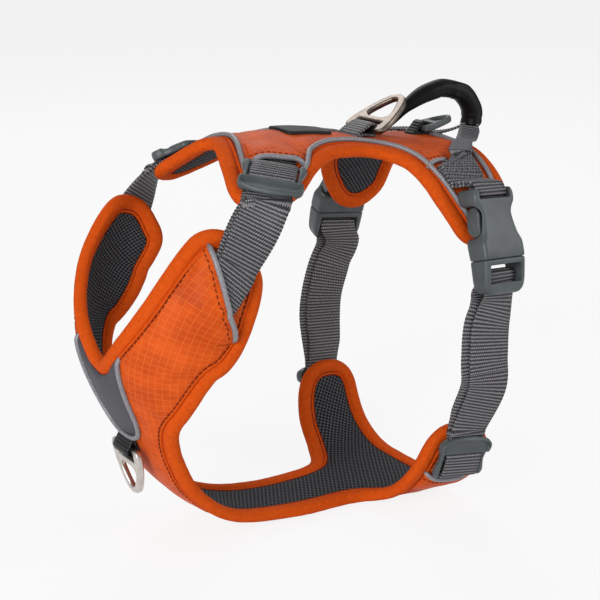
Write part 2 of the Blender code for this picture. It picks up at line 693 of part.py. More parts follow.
def add_handle():
    line = smooth([point for point, _ in HANDLE_LINE], 3)
    radii = smooth([(radius,) for _, radius in HANDLE_LINE], 3)[:, 0] / HANDLE_RADIUS
    sleeve = tube("handle_sleeve", line, HANDLE_RADIUS, black_sleeve, sides=10, radii=radii)
    set_origin(sleeve, line[0])
    end = np.array(HANDLE_LINE[-1][0])
    for side, word in SIDES:
        flip = (1, side, 1)
        landing, foot = (LEG_LANDING[0], side * LEG_LANDING[1]), (LEG_FOOT[0], side * LEG_FOOT[1])
        top = end + (side * LEG_SPACING / 2, 0.0, -LEG_DROP)
        points = [top, top + np.multiply(LEG_TURN, flip), np.multiply(LEG_MIDDLE, flip),
                  back.point(*landing, LEG_LANDING_LIFT), back.point(*foot, LEG_LIFT)]
        normals = [(1.0, 0.0, 0.0), (1.0, side * 0.1, 0.15), (0.55, side * 0.45, 0.7),
                   back.normal(*landing), back.normal(*foot)]
        spine = Spine(points, normals)
        path = [(s, 0.0) for s in np.linspace(0.0, spine.along[-1], 12)]
        widths = np.interp([s for s, _ in path], (0.0, LEG_GATHER), (GATHERED_WIDTH, RING_WEBBING_WIDTH))
        ribbon("handle_webbing_" + word, spine, path, widths, grey_webbing)


def buckle_frame():
    """Seam point, and the directions across, up and out of the left buckle."""
    up = unit(np.array(BUCKLE_TOP) - SEAM)
    yaw = math.radians(BUCKLE_YAW)
    out = np.array((math.sin(yaw), -math.cos(yaw), 0.0))
    out = unit(out - np.dot(out, up) * up)
    return np.array(SEAM, float), np.cross(up, out), up, out


def add_buckle():
    """The left buckle: female with its top bar, male with its strap bar, and two spring prongs."""
    seam, across, up, out = buckle_frame()
    home = placed(seam, across, up, out)
    half = BUCKLE_WIDTH / 2
    inside = half - BUCKLE_WALL
    depth = BUCKLE_THICKNESS / 2 - BUCKLE_FACE
    waist = inside - WAIST_WALL
    outline = [(half, 0.0), (half, WAIST_LOW), (waist + WAIST_EASE, WAIST_LOW + WAIST_TURN),
               (waist, WAIST_MIDDLE), (waist + WAIST_EASE, WAIST_HIGH - WAIST_TURN), (half, WAIST_HIGH),
               (half, FEMALE_LENGTH - EAR_CORNER), (half - EAR_TURN, FEMALE_LENGTH - EAR_DROP),
               (half - EAR_CORNER, FEMALE_LENGTH)]
    female = plate("buckle_female_left", [mirrored_outline(outline)], BUCKLE_THICKNESS, grey_plastic, home)
    opening = STRAP_OPENING / 2
    slot_high = FEMALE_LENGTH - FEMALE_BAR
    slot_low = FEMALE_LENGTH - FEMALE_BAR / 2 - FEMALE_LOOP - WEBBING_THICKNESS / 2 - GAP
    cut_box(female, (-inside, -PAST, -depth), (inside, slot_low - SLOT_WALL, depth))
    cut_box(female, (-opening, slot_low, -PAST), (opening, slot_high, PAST))
    for sign in (-1, 1):
        low, high = sorted((sign * FEMALE_BAR_DEPTH / 2, sign * PAST))
        cut_box(female, (-opening, slot_low, low), (opening, FEMALE_LENGTH + PAST, high))
        low, high = sorted((sign * (waist - BAR_ROOT), sign * (half + PAST)))
        cut_box(female, (low, WINDOW_LOW, -depth), (high, WINDOW_HIGH, depth))
    bottom = -MALE_LENGTH
    outline = [(half - MALE_CORNER, bottom), (half - MALE_TURN, bottom + MALE_TURN),
               (half, bottom + MALE_CORNER), (half, -GAP)]
    male = plate("buckle_male_left", [mirrored_outline(outline)], BUCKLE_THICKNESS, grey_plastic, home)
    rail_top = bottom + MALE_RAIL
    strap_exit = STRAP_BAR_LEVEL + STRAP_BAR_LOOP + WEBBING_THICKNESS / 2 + WEBBING_PLAY
    cut_box(male, (-opening, rail_top, -PAST), (opening, -MALE_TOP_WALL, PAST))
    cut_box(male, (-opening, bottom - PAST, -PAST), (opening, rail_top + BAR_ROOT, strap_exit))
    bar_low = (BAR_ROOT - half, STRAP_BAR_PLACE - STRAP_BAR_RADIUS, STRAP_BAR_LEVEL - STRAP_BAR_RADIUS)
    bar_high = (half - BAR_ROOT, STRAP_BAR_PLACE + STRAP_BAR_RADIUS, STRAP_BAR_LEVEL + STRAP_BAR_RADIUS)
    cut_box(male, bar_low, bar_high, "UNION")
    tongue_low = (-TONGUE_WIDTH / 2, -TONGUE_ROOT, -TONGUE_THICKNESS / 2)
    cut_box(male, tongue_low, (TONGUE_WIDTH / 2, TONGUE_LENGTH, TONGUE_THICKNESS / 2), "UNION")
    for sign, word in ((-1, "front"), (1, "rear")):
        outline = [((x + PRONG_ROOT) * sign, y) for x, y in PRONG_OUTLINE]
        prong_home = placed(seam + across * (inside - PRONG_ROOT) * sign, across, up, out)
        plate(f"buckle_prong_{word}_left", [outline], PRONG_THICKNESS, grey_plastic, prong_home)


def add_slider(name, spine, s, material):
    """A strap slider: two end bars over the strap and a lower centre bar that the strap's end loops over."""
    place, tangent, out, across = spine.frame(s)
    half_width, half_length = SLIDER_WIDTH / 2, SLIDER_LENGTH / 2
    top = SLIDER_BOTTOM + SLIDER_HEIGHT
    middle = (SLIDER_BOTTOM + top) / 2
    window_end = half_length - SLIDER_BAR
    opening = STRAP_OPENING / 2
    outline = rounded_rectangle((-half_width, -half_length), (half_width, half_length), SLIDER_CORNER)
    windows = [rounded_rectangle((-opening, low), (opening, high), SLIDER_WINDOW_CORNER, 1)
               for low, high in ((-window_end, -SLIDER_CENTRE_BAR / 2), (SLIDER_CENTRE_BAR / 2, window_end))]
    home = placed(place + middle * out, np.cross(tangent, out), tangent, out)
    slider = plate(name, [outline] + windows, SLIDER_HEIGHT, material, home)
    bar_top = CENTRE_BAR_TOP - middle
    cut_box(slider, (-opening, -SLIDER_CENTRE_BAR, bar_top), (opening, SLIDER_CENTRE_BAR, PAST))
    for sign in (-1, 1):
        low, high = sorted((sign * (window_end - BAR_ROOT), sign * (half_length + PAST)))
        cut_box(slider, (-opening, low, -PAST), (opening, high, OUTER_BAR_BOTTOM - middle))
    return slider


def weave(s):
    """The strap's end over a slider's centre bar at s, coming down from further along the strap."""
    reach = SLIDER_LENGTH / 2
    bar_end = reach - SLIDER_BAR
    ramp = OUTER_LAYER + RAMP_RISE
    steps = [(reach + BAR_ROOT, OUTER_LAYER), (bar_end, OUTER_LAYER), (RAMP_START, ramp),
             (RAMP_END, OVER_BAR), (-RAMP_END, OVER_BAR), (-RAMP_START, ramp), (-bar_end, OUTER_LAYER),
             (-reach, OUTER_LAYER)]
    return [(s + step, height) for step, height in steps]


def under_slider(form, place, direction, height):
    """Four points in line under a slider on a form, and the direction out of it; direction is as (u, v)."""
    middle = form.point(*place, height)
    ahead = form.point(place[0] + direction[0], place[1] + direction[1], height)
    along = unit(ahead - middle)
    out = form.normal(*place)
    along = unit(along - np.dot(along, out) * out)
    reaches = (-STRAIGHT_REACH, 0.0, STRAIGHT_REACH, STRAIGHT_REACH + STRAIGHT_EASE)
    return [middle + along * reach for reach in reaches], [out] * len(reaches)


def add_girth_strap():
    """The left girth strap: from the belly pocket up behind the slider, round the buckle's bar and down."""
    seam, across, up, out = buckle_frame()
    bar = seam + up * STRAP_BAR_PLACE + out * STRAP_BAR_LEVEL
    points, normals = under_slider(chest, BELLY_SLIDER_PLACE, BELLY_SLIDER_DIRECTION, STRAP_HEIGHT)
    points += GIRTH_POINTS + [bar - up * BAR_APPROACH, bar, bar + up * BEYOND_BAR]
    normals += GIRTH_DIRECTIONS + [out, out, out]
    spine = Spine(points, normals)
    slider_at = spine.at_point(1)
    bar_at = spine.along[-1] - BEYOND_BAR
    inner = -OUTER_LAYER
    path = [(s, inner) for s in np.linspace(0.0, bar_at - LOOP_REACH, 14)]
    path += [(bar_at - LOOP_REACH / 2, (inner - STRAP_BAR_LOOP) / 2)]
    path += bend((bar_at, 0.0), STRAP_BAR_LOOP, -90, 90)
    path += [(bar_at - LOOP_REACH / 2, (OUTER_LAYER + STRAP_BAR_LOOP) / 2)]
    straight_end = slider_at + STRAIGHT_REACH + STRAIGHT_EASE
    path += [(s, OUTER_LAYER) for s in np.linspace(bar_at - LOOP_REACH, straight_end, 9)]
    path += weave(slider_at)
    ribbon("girth_strap_left", spine, path, WEBBING_WIDTH, grey_webbing)
    add_slider("belly_slider_left", spine, slider_at, grey_plastic)
    return spine


def add_neck_strap():
    """The left neck strap: from the back pocket down behind the slider to the arm pocket, and back up."""
    height = STRAP_HEIGHT + NECK_SLIDER_LIFT
    points, normals = under_slider(back, NECK_SLIDER_PLACE, NECK_SLIDER_DIRECTION, height)
    points += [chest.point(u, v, STRAP_HEIGHT) for u, v in ARM_STRAP_POINTS]
    normals += [chest.normal(u, v) for u, v in ARM_STRAP_POINTS]
    spine = Spine(points, normals)
    slider_at = spine.at_point(1)
    end = spine.along[-1]
    fold = OUTER_LAYER
    path = [(s, -OUTER_LAYER) for s in np.linspace(0.0, end - fold, 14)]
    path += bend((end - fold, 0.0), fold, -90, 90, 4)
    straight_end = slider_at + STRAIGHT_REACH + STRAIGHT_EASE
    path += [(s, OUTER_LAYER) for s in np.linspace(end - fold - STRAIGHT_EASE, straight_end, 7)]
    path += weave(slider_at)
    ribbon("neck_strap_left", spine, path, WEBBING_WIDTH, grey_webbing)
    add_slider("neck_slider_left", spine, slider_at, grey_plastic)
    return spine


def add_wing_webbing():
    """Webbing sewn on the left wing that loops round the female buckle's top bar."""
    seam, across, up, out = buckle_frame()
    bar = seam + up * (FEMALE_LENGTH - FEMALE_BAR / 2)
    reach = FEMALE_LOOP
    seat = ON_SHELL + WEBBING_THICKNESS + GAP / 2
    points = [back.point(u, v, seat) for u, v in WING_STRAP_POINTS]
    points += [bar + up * WING_LEAD, bar, bar - up * BEYOND_BAR]
    normals = [back.normal(u, v) for u, v in WING_STRAP_POINTS] + [out, out, out]
    spine = Spine(points, normals)
    bar_at = spine.along[-1] - BEYOND_BAR
    layer = (WEBBING_THICKNESS + GAP) / 2
    wing_end = bar_at - reach - WING_LOOP_EASE
    path = [(s, -layer) for s in np.linspace(0.0, wing_end, 4)]
    path += bend((bar_at, 0.0), reach, -120, 120, 10)
    path += [(s, layer) for s in np.linspace(wing_end, 0.0, 4)]
    ribbon("wing_webbing_left", spine, path, WEBBING_WIDTH, grey_webbing)


# The harness
LEFT_PIECES = [
    "buckle_female", "buckle_male", "buckle_prong_front", "buckle_prong_rear", "girth_strap", "belly_slider",
    "neck_strap", "neck_slider", "wing_webbing",
]
for existing in list(bpy.data.objects):
    bpy.data.objects.remove(existing)
harness = bpy.data.collections.new("dog_harness")
cutters = bpy.data.collections.new("cutters")
bpy.context.scene.collection.children.link(harness)
bpy.context.scene.collection.children.link(cutters)

orange_shell = add_material("orange_ripstop", (0.80, 0.13, 0.015), 0.6)
orange_tape = add_material("orange_tape", (0.75, 0.11, 0.015), 0.8)
air_mesh = add_material("grey_air_mesh", (0.06, 0.06, 0.065), 0.9)
grey_webbing = add_material("grey_webbing", (0.10, 0.095, 0.10), 0.7)
black_webbing = add_material("black_webbing", (0.02, 0.02, 0.022), 0.7)
reflective = add_material("reflective_piping", (0.30, 0.30, 0.32), 0.45)
grey_plastic = add_material("grey_plastic", (0.13, 0.15, 0.155), 0.45)
dark_nickel = add_material("satin_nickel", (0.42, 0.38, 0.33), 0.35, 1.0)
pale_nickel = add_material("pale_nickel", (0.70, 0.67, 0.64), 0.35, 1.0)
black_sleeve = add_material("black_sleeve", (0.02, 0.02, 0.025), 0.5)
black_rubber = add_material("black_rubber", (0.012, 0.012, 0.012), 0.6)
badge_fabric = add_material("badge_fabric", (0.09, 0.09, 0.10), 0.6)

back = Form(BACK_LINE, BACK_START, BACK_SECTIONS, 1)
chest = Form(CHEST_LINE, CHEST_START, CHEST_SECTIONS, -1)

add_back_panel()
add_chest_panel()
add_rings()
add_handle()
add_buckle()
girth_spine = add_girth_strap()
neck_spine = add_neck_strap()
add_wing_webbing()
for piece in LEFT_PIECES:
    mirrored(bpy.data.objects[piece + "_left"], piece + "_right")
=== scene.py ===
"""The looks of a padded walking harness for a dog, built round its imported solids.

Frame: metres, +Z up, +X towards the tail, +Y to the dog's right, origin in the middle of the girth opening.
Sizes are written in millimetres and turned into metres where a mesh is made.
"""

import math

import bmesh
import bpy
import numpy as np
from mathutils import Matrix, Vector, noise


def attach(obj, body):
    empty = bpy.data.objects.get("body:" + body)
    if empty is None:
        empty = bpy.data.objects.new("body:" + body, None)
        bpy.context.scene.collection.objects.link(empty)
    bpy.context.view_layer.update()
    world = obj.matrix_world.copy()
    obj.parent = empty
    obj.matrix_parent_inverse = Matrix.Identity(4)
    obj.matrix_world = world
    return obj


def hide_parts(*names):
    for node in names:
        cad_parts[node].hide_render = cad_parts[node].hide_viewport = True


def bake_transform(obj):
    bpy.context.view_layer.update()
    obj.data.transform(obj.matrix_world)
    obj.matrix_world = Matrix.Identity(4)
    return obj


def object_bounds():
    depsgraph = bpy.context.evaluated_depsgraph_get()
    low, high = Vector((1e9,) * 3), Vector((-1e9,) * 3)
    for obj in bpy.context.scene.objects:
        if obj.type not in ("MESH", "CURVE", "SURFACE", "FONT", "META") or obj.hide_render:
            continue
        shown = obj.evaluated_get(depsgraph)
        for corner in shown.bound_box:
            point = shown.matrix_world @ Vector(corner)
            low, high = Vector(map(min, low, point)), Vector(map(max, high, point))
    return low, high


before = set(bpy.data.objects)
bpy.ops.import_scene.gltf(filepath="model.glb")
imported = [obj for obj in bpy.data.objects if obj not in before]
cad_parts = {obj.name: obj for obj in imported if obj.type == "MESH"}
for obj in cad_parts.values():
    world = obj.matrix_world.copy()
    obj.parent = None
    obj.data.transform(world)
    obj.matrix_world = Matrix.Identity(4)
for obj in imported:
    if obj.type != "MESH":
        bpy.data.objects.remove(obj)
cad_low, cad_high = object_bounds()

MM = 0.001
SIDES = ((-1, "left"), (1, "right"))

# Camera, as the photograph was taken
CAMERA_AZIMUTH = -33.0
CAMERA_ELEVATION = 16.0
CAMERA_DISTANCE = 833.0
CAMERA_LENS = 84.0
CAMERA_SENSOR = 36.0
# Strength of the world for the object's own light; the camera sees it white
WORLD_LIGHT = 0.22
GLOSSY_SHARE = 0.35

# Layers and trim
SHELL_EDGE = 0.7
SHELL_PLATEAU = 1.9
LINING_EDGE = -3.3
LINING_PLATEAU = -4.7
BINDING_HEIGHT = -1.4
BINDING_OFFSET = 3.7
BINDING_WIDE = 4.5
BINDING_THICK = 3.7
PIPING_RADIUS = 1.5
PIPING_HEIGHT = 2.6
# Heights of the pockets' mouths over their panels
LIP_ROOT = 1.2
LIP_STITCH = 3.8
NECK_LIP = 5.0
WING_LIP = 2.6
ARM_LIP = 6.6
BELLY_LIP = 5.2
STITCH_LENGTH = 2.3
STITCH_STEP = 3.3
STITCH_RADIUS = 0.34
STITCH_INSET = 2.5
HEM_INSET = 1.25
HEM_WIDE = 0.75
HEM_THICK = 0.6
PIPING_DIVE = 3.2
PIPING_DIVE_REACH = 2.2
# How far the chest cloth is cut off its grain, in degrees
CHEST_GRAIN = 16.0
# The close stitching that holds the wing straps: where it lies along the strap, and its steps along and across
FIELD_REACH = (2.5, 21.5)
FIELD_STEP = 1.9
FIELD_PITCH = 2.1

# Webbing
WEBBING_WIDTH = 25.0
WEBBING_THICKNESS = 1.5
RING_WEBBING_WIDTH = 20.0
LIGHT_WEBBING_WIDTH = 9.0
RIB_STEP = 2.0
RIB_HEIGHT = 0.22
ROWS_PER_RIB = 4
OUTER_LAYER = 1.1
# How far the inner layer sinks where a slider passes over it
SLIDER_ROOM = 0.9
SLIDER_TRAVEL = np.array((17.0, 7.0))
STRAP_HEIGHT = 4.25
SPINE_PIECES = 10

# Forms: centre lines as (x, z); sections as (u, crown radius, crown end, flank radius, flank end, skirt radius)
BACK_LINE = [(-80, 98), (-57, 100), (-14, 101), (15, 98), (45, 93), (87, 90), (135, 83)]
BACK_START = (-57, 100)
BACK_SECTIONS = [
    (-25, 36, 18, 1000, 60, 1000),
    (0, 36, 18, 1000, 60, 1000),
    (60, 90, 20, 250, 80, 250),
    (105, 160, 24, 48, 90, 250),
    (180, 160, 24, 48, 90, 250),
]
CHEST_LINE = [
    (-90, 92), (-112, 64), (-126, 32), (-132, 0), (-129, -24), (-115, -58),
    (-97, -91), (-65, -116.5), (-20, -125.5), (40, -125.5), (110, -125.5),
]
CHEST_START = (-129, -24)
CHEST_SECTIONS = [
    (-130, 500, 22, 35, 82, 170),
    (-60, 500, 25, 41, 88, 250),
    (0, 170, 20, 50, 90, 250),
    (60, 100, 20, 50, 90, 100),
    (110, 160, 22, 62, 90, 100),
    (180, 330, 22, 62, 90, 100),
    (225, 500, 20, 50, 95, 250),
    (260, 500, 23, 52, 100, 250),
    (310, 500, 23, 52, 100, 250),
]

# Half patterns, row by row: each row runs from its inner end to its outer end, as (u, v)
BACK_ROWS = [
    ((7, 0), (-8, 50)), ((14, 0), (-3, 55)), ((22, 0), (7, 56)), ((30, 0), (18, 53)), ((40, 0), (27, 46)),
    ((50, 0), (38, 38)), ((62, 0), (53, 30)), ((74, 0), (68, 26)), ((86, 0), (85, 24.5)),
    ((97, 0), (98, 28)), ((107, 0), (109, 38)), ((117, 0), (115, 51)), ((127, 0), (121, 67)),
    ((135, 0), (129, 80)), ((142, 0), (137, 88.5)), ((148, 0), (148, 90)), ((152, 0), (157, 85)),
    ((154, 0), (162, 76)),
]
CHEST_ROWS = [
    ((-101, 66), (-104, 76)), ((-97, 61), (-98, 87)), ((-84, 58), (-85, 96)), ((-58, 51), (-60, 97)),
    ((-36, 39), (-37, 92)), ((-21, 26), (-16, 81)), ((-6.5, 10.5), (4, 64)), ((-2.5, 0), (15, 53)),
    ((1.5, 0), (19, 48)), ((20, 0), (28, 38.5)), ((45, 0), (44, 31)), ((70, 0), (70, 26.5)),
    ((100, 0), (100, 22.5)), ((140, 0), (140, 18)), ((180, 0), (180, 18)), ((198, 0), (205, 20)),
    ((211, 0), (218, 28)), ((222, 0), (225, 45)), ((232, 0), (228, 67)), ((242, 0), (235, 91)),
    ((252, 0), (248, 97)), ((263, 0), (262, 90)),
]
NOTCH_ROW = 7
BADGE_ROWS = [
    ((-2.5, 0), (38.2, 0)), ((-6, 10.5), (36.8, 9.5)), ((-13.5, 19), (32.5, 17.2)), ((-19, 25), (23, 22)),
]

# Trim lines on the forms, as (u, v)
FRONT_PIPING = [(-1, 38), (4, 22), (8, 10), (10, 0)]
SIDE_PIPING = [
    (27.5, 49.5), (32, 45.8), (35.3, 42.6), (39, 37.4), (45, 31), (61, 24.5), (84, 21.5), (99, 25), (111, 38), (118, 54), (126, 71), (134, 81),
]
REAR_PIPING = [(158.2, 62), (157.2, 52), (155, 36), (152.4, 18), (151.8, 0)]
NECK_POCKET_PIPING = [(6.5, 29), (11, 30.8), (17.5, 33.6), (23, 37), (28.5, 40), (31.5, 42.3), (33.5, 44.5)]
WING_POCKET_PIPING = [(114, 49), (118, 47), (124, 45.5), (132, 45)]
ARM_PIPING = [(-98, 62), (-87, 69.5), (-73, 77.5), (-54, 86.5), (-38, 91.5)]
BELLY_POCKET_PIPING = [(229, 72.5), (240, 70), (252, 69.5), (261, 70.5)]
BADGE_PIPING = [(-20, 26), (-10, 25), (4, 24), (20, 22.8), (28, 20.5), (34.5, 15.5), (38, 8), (38.6, 0)]
# Where the pockets' lips are sewn down, as (u, v)
NECK_LIP_ROOT = [(13, 9), (28, 11), (37, 20), (39.5, 32)]
WING_LIP_ROOT = [(111, 37), (118, 33), (126, 31), (136, 31)]
ARM_LIP_ROOT = [(-88, 60), (-68, 58), (-50, 64), (-34, 80)]
BELLY_LIP_ROOT = [(227, 52), (243, 50), (260, 52)]
LABEL_CENTRE = (57, 0)
LABEL_LENGTH = 31.0
LABEL_WIDTH = 24.0

# Leash rings and the loop for a light, in frames whose Y runs away from the bar
RING_SIZE = (37.0, 35.0, 3.6)
RING_BAR = 3.2
RING_SLOT = 4.6
CHEST_RING_SHARE = 0.9
LIGHT_SIZE = (17.0, 25.0, 4.0)
LIGHT_BAR = 2.8
LIGHT_SLOT = 4.4
RING_SIDE_SHARES = [(0.94, 0.3), (0.7, 0.62), (0.4, 0.85), (0.0, 0.93)]
RING_LIFT = 3.55
RING_WEBBING_SEAT = 2.7

# Places of the moving pieces
BACK_RING_PLACE = (102, 0)
CHEST_RING_PLACE = (45, 0)
LIGHT_PLACE = (144.5, 0)
BELLY_SLIDER_PLACE = (248, -87)
NECK_SLIDER_PLACE = (7, -52)
STRAIGHT_REACH = 15.0
SEAM = (82, -80, 30.9)
BUCKLE_TOP = (83.5, -68.5, 70)
BUCKLE_YAW = 8.0
FEMALE_LENGTH = 41.0
FEMALE_BAR = 4.0
FEMALE_LOOP = 4.02
STRAP_BAR_PLACE = -9.6
STRAP_BAR_LEVEL = -1.6
STRAP_BAR_LOOP = 3.45
HANDLE_LINE = [
    ((54.5, 0, 95.4), 1.4), ((60, 0, 98.0), 2.4), ((67, 0, 103.2), 3.2), ((75, 0, 108.8), 3.8),
    ((86, 0, 114.4), 5.2), ((95, 0, 117.2), 5.75), ((105, 0, 118.4), 5.75), ((117.5, 0, 114.6), 5.75),
    ((125.2, 0, 105.5), 5.75), ((126.4, 0, 99), 5.75), ((125.6, 0, 94), 5.75),
]
# The left leg of the handle: stations with their middle, the direction across and the width
LEG_STATIONS = [
    ((125.6, -2.0, 98.0), (0.6, -0.8, 0.0), 6.0),
    ((121.5, -5.5, 92.4), (0.839, -0.545, 0.0), 13.0),
    ((111.0, -15.5, 88.6), (0.839, -0.545, 0.0), 13.0),
    ((97.5, -28.5, 90.3), (0.9, -0.43, 0.0), 11.5),
]
# Where it lies on the wing, as (u, v, height), and its width there
# Its foot on the wing is cut slanting, as (u, v, reach to the front, reach to the rear)
LEG_FEET = [(141, -42, 7.0, 7.0), (141, -44.5, 9.0, 4.0), (141, -48.5, 13.0, -6.0), (141, -52.8, 20.5, -18.6)]
LEG_FOOT_HEIGHT = 6.9
LEG_WIDTH = 17.0
NECK_SLIDER_LIFT = 1.5
BELLY_SLIDER_DIRECTION = (0.1, -1.0)
NECK_SLIDER_DIRECTION = (-0.6, -0.8)
GIRTH_POINTS = [(73.5, -86, -44), (74, -85.6, -26), (76, -83.8, -8)]
GIRTH_DIRECTIONS = [(0.0, -1.0, 0.0), (0.0, -1.0, 0.05), (0.06, -1.0, 0.15)]
GIRTH_SETBACK = 2.5
# The loose straps turn a little about their length, each its own way, as do their two layers
GIRTH_LEAN = {"left": -0.2, "right": 0.15}
LAYER_SIDE = {"left": -1.0, "right": 1.0}
GIRTH_SWAY = {"left": 0.0, "right": -4.0}
SWAY_SHARES = (1.0, 0.8, 0.3)
# The strap's end under the neck pocket's lip and its run on the arm and under that lip, as (u, v, height)
NECK_STRAP_START = [(27.5, -24, 1.7), (22, -33, 3.4)]
NECK_STRAP_TUCK = (14.0, 19.0)
ARM_STRAP_POINTS = [(-97, -79.5, 4.1), (-90, -80, 3.9), (-80, -79.3, 3.6), (-70, -77.5, 3.3), (-60, -74.8, 3.0)]
# Widths that show at the last three of those points, where the lip covers the strap's front edge
ARM_STRAP_WIDTHS = (25.0, 17.5, 10.0)
WING_STRAP_POINTS = [(142.5, -42), (142.5, -49), (142.5, -56), (142.3, -61)]
# How far the sewn end lies to the front of the buckle, and its width, where the stitching spreads it
# The strap's reach to the front and the rear of its spine, at lengths along it
WING_REACH_AT = [0.0, 9.5, 22.5]
WING_REACH_FRONT = [-5.0, 23.0, 20.0]
WING_REACH_REAR = [6.0, 6.4, 7.2]
BEYOND_BAR = 8.0
LAYER_SHIFT = 4.4
NECK_SHIFT = 2.0

# Moulded sliders and buckles, in frames whose Y runs up the strap and whose Z points out
SLIDER_OUTLINE = [
    (14.6, -13.0), (16.6, -12.0), (17.4, -9.5), (16.6, -6.0), (15.7, -2.0), (16.2, 2.0), (17.4, 5.5), (17.6, 8.5),
    (15.5, 11.4), (9.0, 13.6), (0.0, 14.4),
]
SLIDER_WINDOW = (13.3, -13.5, 3.8)
SLIDER_HEIGHTS = (0.2, 4.0)
CRESCENT_HEIGHTS = (2.1, 7.2)
SLIDER_ROD = (-10.6, 2.2, 0.95)
SCOOP = (8.6, 10.2, 6.4)
OVER_BAR = 4.3
BUCKLE_HALF = 17.0
BUCKLE_DEPTH = 5.5
FEMALE_OUTLINE = [
    (17.0, -6.0), (17.0, 6.0), (16.8, 9.5), (15.8, 12.0), (14.6, 14.5), (13.7, 19.0), (12.9, 24.0), (12.9, 26.5),
    (14.2, 29.5), (16.0, 32.0), (16.7, 35.0), (16.3, 38.0), (14.8, 40.6), (12.6, 41.2),
]
# The buckle's face bulges at the seam, and the ear on its front side reaches back towards the wing
BULGE = (3.0, 3.0, 15.0)
EAR_REACH = 4.6
MALE_OUTLINE = [
    (0.0, -20.4), (9.0, -20.4), (12.6, -19.6), (15.2, -17.4), (16.6, -14.0), (17.0, -9.0), (17.0, 6.0),
]
SEAM_GAP = 0.03
SEAM_ROUND = 1.3
GRIP_LOW = 13.4
GRIP_HIGH = 30.6


class Form:
    """A curved surface: a centre line in the XZ plane that carries sections of three arcs."""

    def __init__(self, line, start, sections, outward, grain=0.0):
        self.line = smooth(line, 24)
        self.along = lengths_along(self.line)
        self.along -= self.along[np.argmin(np.linalg.norm(self.line - np.array(start), axis=1))]
        self.sections = np.array(sections, float)
        self.outward = outward
        self.grain = math.radians(grain)

    def cloth(self, place):
        """The place on the cloth, whose threads are turned by the grain."""
        u, v = place[..., 0], place[..., 1]
        turn, lean = math.cos(self.grain), math.sin(self.grain)
        return np.stack([turn * u + lean * v, turn * v - lean * u], axis=-1)

    def on_line(self, u):
        return np.stack([np.interp(u, self.along, self.line[:, i]) for i in range(2)], axis=-1)

    def surface(self, u, v):
        """The points u along the line and v across it."""
        u, v = np.broadcast_arrays(np.asarray(u, float), np.asarray(v, float))
        reach = 3.0
        tangent = self.on_line(u + reach) - self.on_line(u - reach)
        tangent /= np.linalg.norm(tangent, axis=-1, keepdims=True)
        normal = np.stack([-tangent[..., 1], tangent[..., 0]], axis=-1) * self.outward
        crown, crown_end, flank, flank_end, skirt = self.section(u)
        across, drop, angle = 0.0, 0.0, 0.0
        for radius, start, end in ((crown, 0.0, crown_end), (flank, crown_end, flank_end), (skirt, flank_end, 1e6)):
            turn = (np.clip(np.abs(v), start, end) - start) / radius
            across = across + radius * (np.sin(angle + turn) - np.sin(angle))
            drop = drop + radius * (np.cos(angle) - np.cos(angle + turn))
            angle = angle + turn
        place = self.on_line(u) - drop[..., None] * normal
        return np.stack([place[..., 0], np.copysign(across, v), place[..., 1]], axis=-1)

    def section(self, u):
        """The arcs of the section at u; curvature runs evenly from one section to the next."""
        columns = self.sections[:, 1:].T
        radii = [1 / np.interp(u, self.sections[:, 0], 1 / column) for column in columns[::2]]
        ends = [np.interp(u, self.sections[:, 0], column) for column in columns[1::2]]
        return radii[0], ends[0], radii[1], ends[1], radii[2]

    def normal(self, u, v):
        """The direction out of the surface."""
        u, v = np.asarray(u, float), np.asarray(v, float)
        step = 0.5
        along = self.surface(u + step, v) - self.surface(u - step, v)
        across = self.surface(u, v + step) - self.surface(u, v - step)
        outward = np.cross(along, across) * self.outward
        return outward / np.linalg.norm(outward, axis=-1, keepdims=True)

    def point(self, u, v, h=0.0):
        """The points u along, v across and h out of the surface."""
        return self.surface(u, v) + np.asarray(h, float)[..., None] * self.normal(u, v)


def lengths_along(line):
    """The length along a line at each of its points."""
    return np.concatenate([[0.0], np.cumsum(np.linalg.norm(np.diff(line, axis=0), axis=1))])


def smooth(points, pieces):
    """A smooth line through the points, with that many pieces between each two."""
    points = np.array(points, float)
    padded = np.vstack([2 * points[0] - points[1], points, 2 * points[-1] - points[-2]])
    line = []
    for before, start, end, after in zip(padded, padded[1:], padded[2:], padded[3:]):
        slope = end - before
        bow = 2 * before - 5 * start + 4 * end - after
        twist = 3 * start - before - 3 * end + after
        for step in range(pieces):
            t = step / pieces
            line.append(start + 0.5 * (slope * t + bow * t**2 + twist * t**3))
    line.append(points[-1])
    return np.array(line)


def spaced(line, step):
    """The same line with its points an even step apart."""
    along = lengths_along(line)
    wanted = np.linspace(0.0, along[-1], max(2, round(along[-1] / step) + 1))
    return np.stack([np.interp(wanted, along, line[:, i]) for i in range(line.shape[1])], axis=1)


def unit(vector):
    return np.array(vector, float) / np.linalg.norm(vector)


def ripples(points, size, seed=0.0):
    """Smooth noise from -1 to 1 over points in millimetres, with bumps of about that size."""
    flat = np.asarray(points, float).reshape(-1, 3) / size + seed
    values = np.array([noise.noise(Vector(point)) for point in flat])
    return values.reshape(np.asarray(points).shape[:-1])


def ease(value):
    """A smooth step from 0 to 1."""
    value = np.clip(value, 0.0, 1.0)
    return value * value * (3 - 2 * value)


# Materials
def linear(text):
    """An sRGB hex colour as linear red, green, blue and alpha."""
    parts = [int(text[i:i + 2], 16) / 255 for i in (1, 3, 5)]
    return (*[p / 12.92 if p <= 0.04045 else ((p + 0.055) / 1.055) ** 2.4 for p in parts], 1.0)


def add_node(tree, kind, inputs=None, **settings):
    """Adds a shader node with its settings; an input is a value, or the output of another node."""
    made = tree.nodes.new("ShaderNode" + kind)
    for setting, value in settings.items():
        setattr(made, setting, value)
    for socket, value in (inputs or {}).items():
        if isinstance(value, bpy.types.NodeSocket):
            tree.links.new(value, made.inputs[socket])
        else:
            made.inputs[socket].default_value = value
    return made


